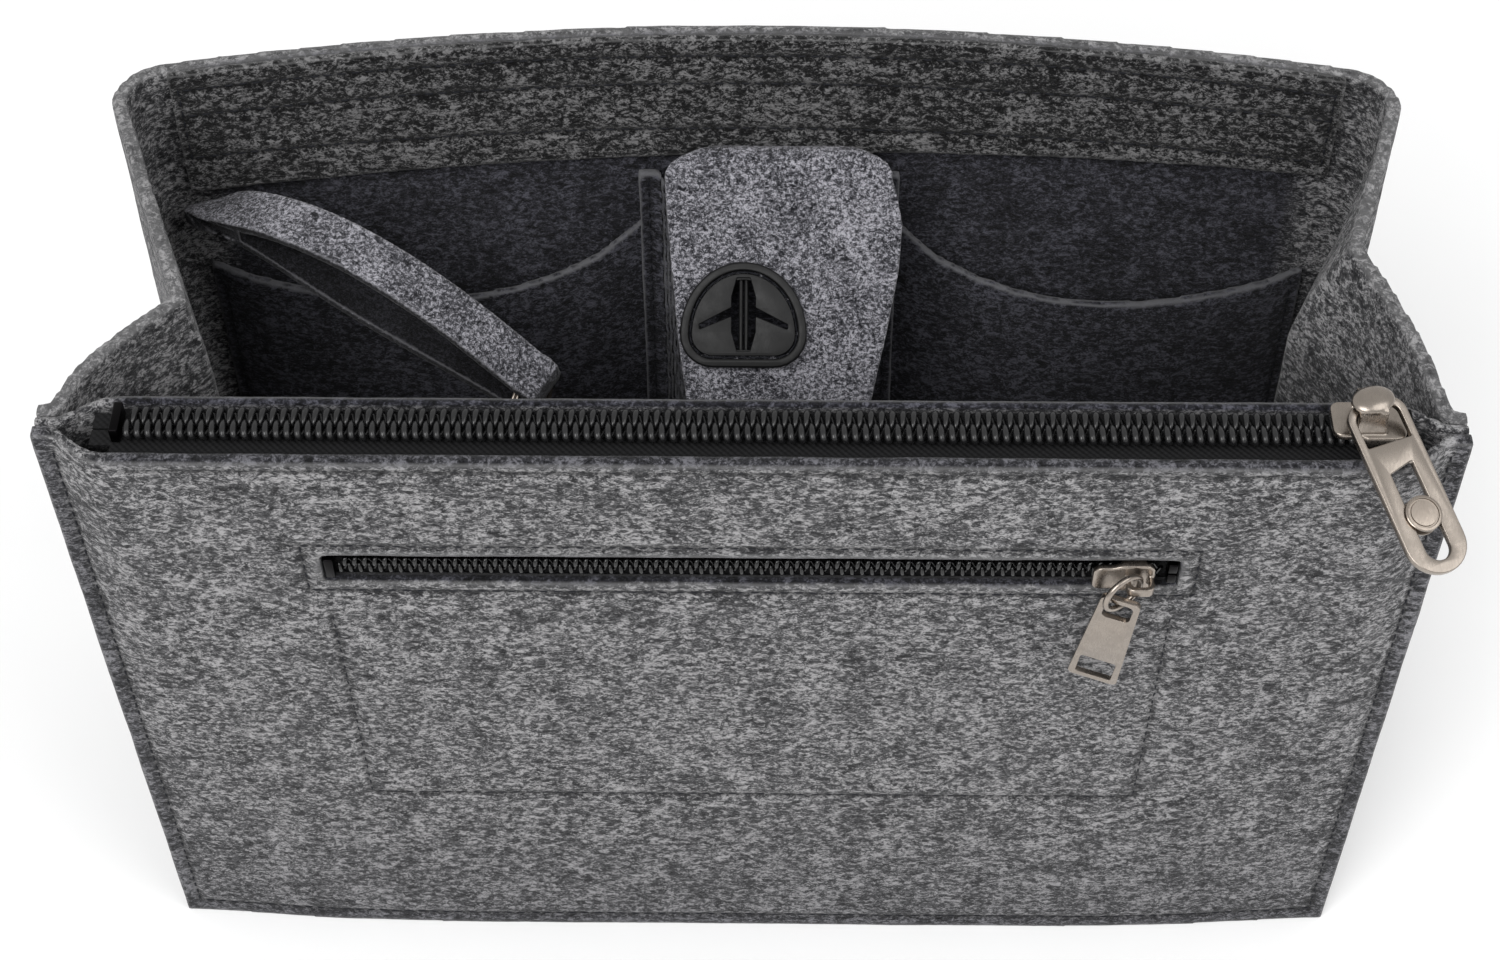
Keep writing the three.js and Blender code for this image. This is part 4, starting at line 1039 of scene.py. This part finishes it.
def port_outline(inset):
    """The port's outline: an arched top over a flat foot with round corners."""
    w, h, r = 14.3 - inset, 11.9 - inset, 7.4 - inset
    corner, arch = np.linspace(0, math.pi / 2, 8), np.linspace(0, math.pi, 32)[1:-1]
    line = [(w - r + r * math.sin(a), -h + r - r * math.cos(a)) for a in corner]
    line += [(w * math.cos(a), -h + r + (2 * h - r) * math.sin(a)) for a in arch]
    line += [(-w + r - r * math.cos(a), -h + r - r * math.sin(a)) for a in corner]
    return [Vector(point) for point in line]


def cut_plate(name, outer, holes, thick, edge, finish, level=0):
    """A flat plate in XY with holes and rounded edges, its middle at a level."""
    lines = [[(point.x * MM, point.y * MM, 0) for point in line] for line in (outer, *holes)]
    mesh = mesh_along(name, lines, True, dimensions="2D", fill_mode="BOTH", bevel_resolution=2,
                      extrude=(thick / 2 - edge) * MM, bevel_depth=edge * MM, offset=-edge * MM)
    mesh.transform(Matrix.Translation((0, 0, level * MM)))
    closed(mesh)
    clothe(mesh, finish, 35)
    return linked(name, mesh)


def closed(mesh):
    """Welds a mesh's seams and turns its faces outwards."""
    with edited(mesh) as build:
        bmesh.ops.remove_doubles(build, verts=build.verts, dist=MM / 200)
        bmesh.ops.recalc_face_normals(build, faces=build.faces)


def turned(name, profile, finish):
    """A piece turned about Z, the same above and below: profile lists (radius, height)."""
    both = [(r, -z) for r, z in reversed(profile)] + list(profile)
    mesh = bpy.data.meshes.new(name)
    with edited(mesh) as build:
        line = [build.verts.new((r * MM, 0, z * MM)) for r, z in both]
        edges = [build.edges.new(pair) for pair in zip(line, line[1:])]
        bmesh.ops.spin(build, geom=line + edges, cent=(0, 0, 0), axis=(0, 0, 1),
                       angle=math.tau, steps=48)
    closed(mesh)
    clothe(mesh, finish, 40)
    return linked(name, mesh)


class INSERT_OT_zips(bpy.types.Operator):
    """Make the two zips: coils, tapes, stops and the pocket's lining"""

    bl_idname = "insert.zips"
    bl_label = "Zips"

    def execute(self, context):
        zips = context.scene.zips
        low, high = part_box("main_coil_rear")
        main = Matrix.Translation((0, MIDDLE * MM, (low.z + high.z) / 2))
        main_size = zips.main_pitch, zips.main_wire, 3.75, 3.2, 0.75
        small = slot_frame() @ Matrix.Rotation(math.radians(90), 4, "X")
        small_size = zips.small_pitch, zips.small_wire, 2.4, 2.2, 0.6
        coil("main_coil_rear", main, *main_size, True, "Nylon coil")
        coil("main_coil_front", main, *main_size, False, "Nylon coil")
        coil("small_coil_upper", small, *small_size, True, "Fine nylon coil")
        coil("small_coil_lower", small, *small_size, False, "Fine nylon coil")
        for node in ("main_tape_front", "main_tape_rear"):
            self.cloth(node, (0.257, 0.0145))
        for node in ("small_tape_upper", "small_tape_lower"):
            self.cloth(node, (0.176, 0.012))
        self.cloth("front_pocket_bag", (0.186, 0.106))
        for node in ("main_stop_bottom", "main_stop_front", "main_stop_rear",
                     "small_stop_bottom", "small_stop_upper", "small_stop_lower"):
            stamped(node, "_clip", "shell", "Blackened steel", 0.3)
        return {"FINISHED"}

    def cloth(self, node, flat):
        piece = welded(node + "_cloth", node)
        cut = piece.modifiers.new("Fine", "SUBSURF")
        cut.subdivision_type = "SIMPLE"
        cut.levels = cut.render_levels = 2
        clothe(baked(piece).data, "Black tape")
        take_over(piece, "shell", "zip_cloth", node)


class INSERT_OT_pulls(bpy.types.Operator):
    """Make both sliders and their pulls"""

    bl_idname = "insert.pulls"
    bl_label = "Sliders and pulls"

    def execute(self, context):
        for slider in ("main_slider", "small_slider"):
            stamped(slider + "_plate", "_metal", slider, "Warm plating")
        stamped("small_pull_tab", "_metal", "small_pull_tab", "Warm plating", 0.25)
        for node in ("main_slider", "small_slider"):
            self.die_cast(node)
        self.link()
        self.pull()
        return {"FINISHED"}

    def die_cast(self, node):
        """A slider's body with the soft edges of a die casting."""
        piece = welded(node + "_metal", node)
        if node == "main_slider":
            self.dome(piece.data)
        remesh = piece.modifiers.new("Even", "REMESH")
        remesh.mode = "VOXEL"
        remesh.voxel_size = 0.2 * MM
        remesh.use_smooth_shade = True
        clothe(relaxed(piece, 16).data, "Warm plating")
        take_over(piece, node, "gunmetal", node)

    def dome(self, mesh):
        """Draws the bridge in at its top and sets an oval cap on it, clear of the pull's swing."""
        centre, turn = pull_hinge()
        low, crown = centre.z - 3.7 * MM, centre.z + 1.4 * MM
        points, _ = surface(mesh)
        height = points[:, 2]
        draw = np.clip((height - low) / (centre.z - low), 0, 1) * 0.2
        points[:, 1] += (centre.y - points[:, 1]) * draw
        points[:, 2] = np.where(height > crown, (crown + height) / 2, height)
        move_to(mesh, points)
        with edited(mesh) as build:
            cap = bmesh.ops.create_uvsphere(build, u_segments=40, v_segments=20, radius=1)
            for vert in cap["verts"]:
                side = turn.to_3x3() @ Vector((vert.co.x * 4.45, vert.co.y * 3.4, 0))
                rise = max(1.35, 1.5 + 1.75 * vert.co.z)
                vert.co = centre + Vector((side.x, side.y, rise)) * MM

    def pull(self):
        """The long pull: an eye for the bridge, a long window and the ringed stud that sits in it."""
        centre, turn = pull_hinge()
        place = Matrix.Translation(centre) @ turn @ Matrix.Rotation(PULL_LEAN, 4, "X")
        w, top, low = 6.2, 0.75, -35.25
        outer = rounded([(-w, low), (w, low), (w, top), (-w, top)], (w, w, 3.4, 3.4))
        eye = rounded([(-4.7, top - 8.8), (4.7, top - 8.8), (4.7, top - 1.5), (-4.7, top - 1.5)],
                      (0.3, 0.3, 2.2, 2.2))
        window = rounded([(-2.6, low + 2.6), (2.6, low + 2.6), (2.6, top - 13.4), (-2.6, top - 14.8)],
                         (2.6, 2.6, 0.4, 0.4))
        plate = cut_plate("main_pull_metal", outer, (eye, window), 1.6, 0.28, "Warm plating")
        plate.data.transform(place)
        profile = (
            (2.2, 0), (2.2, 0.95), (3.5, 0.95), (3.6, 1.05), (3.6, 1.3), (3.45, 1.42),
            (3.0, 1.42), (2.9, 1.2), (2.65, 1.2), (2.55, 1.42), (1.2, 1.48), (0, 1.5))
        stud = turned("pull_stud_metal", profile, "Bright nickel")
        stud.data.transform(place @ Matrix.Translation((0, (top - 24) * MM, 0)))
        take_over(plate, "main_pull", "gunmetal", "main_pull")
        take_over(stud, "main_pull", "steel", "pull_stud")

    def link(self):
        """The round link, wound from finer steps than the solid's."""
        points, _ = surface(frame["nodes"]["small_link"].data)
        centre = points.mean(0)
        _, _, axes = np.linalg.svd(points - centre, full_matrices=False)
        across, up = Vector(axes[0]), Vector(axes[1])
        line = [Vector(centre) + (across * math.cos(a) + up * math.sin(a)) * 4.4 * MM
                for a in np.linspace(0, math.tau, 73)]
        piece = tube("small_link_wire", line, 0.65 * MM)
        take_over(piece, "small_link", "gunmetal", "small_link")


class INSERT_OT_stage(bpy.types.Operator):
    """Set the floor, the lights and the camera"""

    bl_idname = "insert.stage"
    bl_label = "Stage"

    def execute(self, context):
        scene = context.scene
        stage = scene.stage
        self.floor(tuple(stage.floor))
        scene.view_settings.view_transform = "Standard"
        self.world(scene, 0.6 * stage.level)
        self.lamp("Key", (-0.5, -1.0, 1.25), 1.1, 13.0 * stage.level)
        self.lamp("Fill", (0.9, -0.5, 1.2), 1.2, 5.0 * stage.level)
        self.camera(scene, stage.lens)
        return {"FINISHED"}

    def floor(self, white):
        """A square of faintly mottled paper, 12 metres wide."""
        mesh, half = bpy.data.meshes.new("floor"), 6
        corners = [(-half, -half, 0), (half, -half, 0), (half, half, 0), (-half, half, 0)]
        mesh.from_pydata(corners, [], [(0, 1, 2, 3)])
        tree, shader = new_material("Paper floor", {"Roughness": 0.9})
        shade = noise_of(tree, add(tree, "ShaderNodeTexCoord").outputs["Object"], 40.0)
        stops = [(0.0, tuple(c * 0.985 for c in white)), (1.0, white)]
        tree.links.new(ramp(tree, shade, stops), shader["Base Color"])
        mesh.materials.append(bpy.data.materials["Paper floor"])
        linked("floor", mesh)

    def world(self, scene, level):
        """Even light of a level on the object, with plain white behind it."""
        world = bpy.data.worlds.new("Soft room")
        world.use_nodes = True
        tree = world.node_tree
        tree.nodes.clear()
        seen = add(tree, "ShaderNodeLightPath").outputs["Is Camera Ray"]
        strength = maths(tree, "MULTIPLY_ADD", seen, 1 - level, level)
        inputs = {"Color": (1, 1, 1, 1), "Strength": strength}
        back = add(tree, "ShaderNodeBackground", inputs)
        add(tree, "ShaderNodeOutputWorld", {"Surface": back.outputs[0]})
        scene.world = world

    def lamp(self, name, place, size, power):
        light = bpy.data.lights.new(name, "AREA")
        light.shape = "DISK"
        light.size = size
        light.energy = power
        lamp = linked(name, light)
        lamp.location = place
        lamp.rotation_mode = "QUATERNION"
        aim = Vector((0, 0, 0.1)) - Vector(place)
        lamp.rotation_quaternion = aim.to_track_quat("-Z", "Y")

    def camera(self, scene, lens):
        """The camera that was fitted to the photograph: a heading, a tilt down, a roll and a place."""
        data = bpy.data.cameras.new("Camera")
        data.sensor_width = 36
        data.lens = lens
        data.clip_start, data.clip_end = 0.01, 50
        camera = linked("Camera", data)
        turn, tilt, roll = math.radians(-1.09), math.radians(50.8), math.radians(0.5)
        flat = math.cos(tilt)
        ahead = Vector((math.sin(turn) * flat, math.cos(turn) * flat, -math.sin(tilt)))
        right = Vector((math.cos(turn), -math.sin(turn), 0))
        down = ahead.cross(right)
        across = right * math.cos(roll) + down * math.sin(roll)
        up = right * math.sin(roll) - down * math.cos(roll)
        facing = Matrix((across, up, -ahead)).transposed().to_4x4()
        camera.matrix_world = Matrix.Translation(Vector((6.3, -376.65, 570.4)) * MM) @ facing
        scene.camera = camera


class INSERT_PT_panel(bpy.types.Panel):
    """Lists the steps and their settings"""

    bl_label = "Felt Bag Organizer"
    bl_idname = "INSERT_PT_panel"
    bl_space_type = "VIEW_3D"
    bl_region_type = "UI"
    bl_category = "Organizer"

    def draw(self, context):
        for step in STEPS:
            self.layout.operator(step.bl_idname)
        for group in (getattr(context.scene, name) for name in GROUPS):
            box = self.layout.box()
            for name in group.bl_rna.properties.keys():
                if name not in ("rna_type", "name"):
                    box.prop(group, name)


STEPS = (
    INSERT_OT_walls, INSERT_OT_pockets, INSERT_OT_flap, INSERT_OT_strap, INSERT_OT_zips,
    INSERT_OT_pulls, INSERT_OT_stage,
)
GROUPS = {
    "felt": FeltSettings, "stitch": StitchSettings, "zips": ZipSettings,
    "metal": MetalSettings, "stage": StageSettings,
}


def register():
    for made in (*GROUPS.values(), *STEPS, INSERT_PT_panel):
        bpy.utils.register_class(made)
    for name, group in GROUPS.items():
        setattr(bpy.types.Scene, name, bpy.props.PointerProperty(type=group))


def unregister():
    for name in GROUPS:
        delattr(bpy.types.Scene, name)
    for made in (INSERT_PT_panel, *reversed(STEPS), *GROUPS.values()):
        bpy.utils.unregister_class(made)


def main():
    register()
    for step in (
        bpy.ops.insert.walls, bpy.ops.insert.pockets, bpy.ops.insert.flap, bpy.ops.insert.strap,
        bpy.ops.insert.zips, bpy.ops.insert.pulls, bpy.ops.insert.stage,
    ):
        step()
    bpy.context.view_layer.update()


if __name__ == "__main__":
    main()
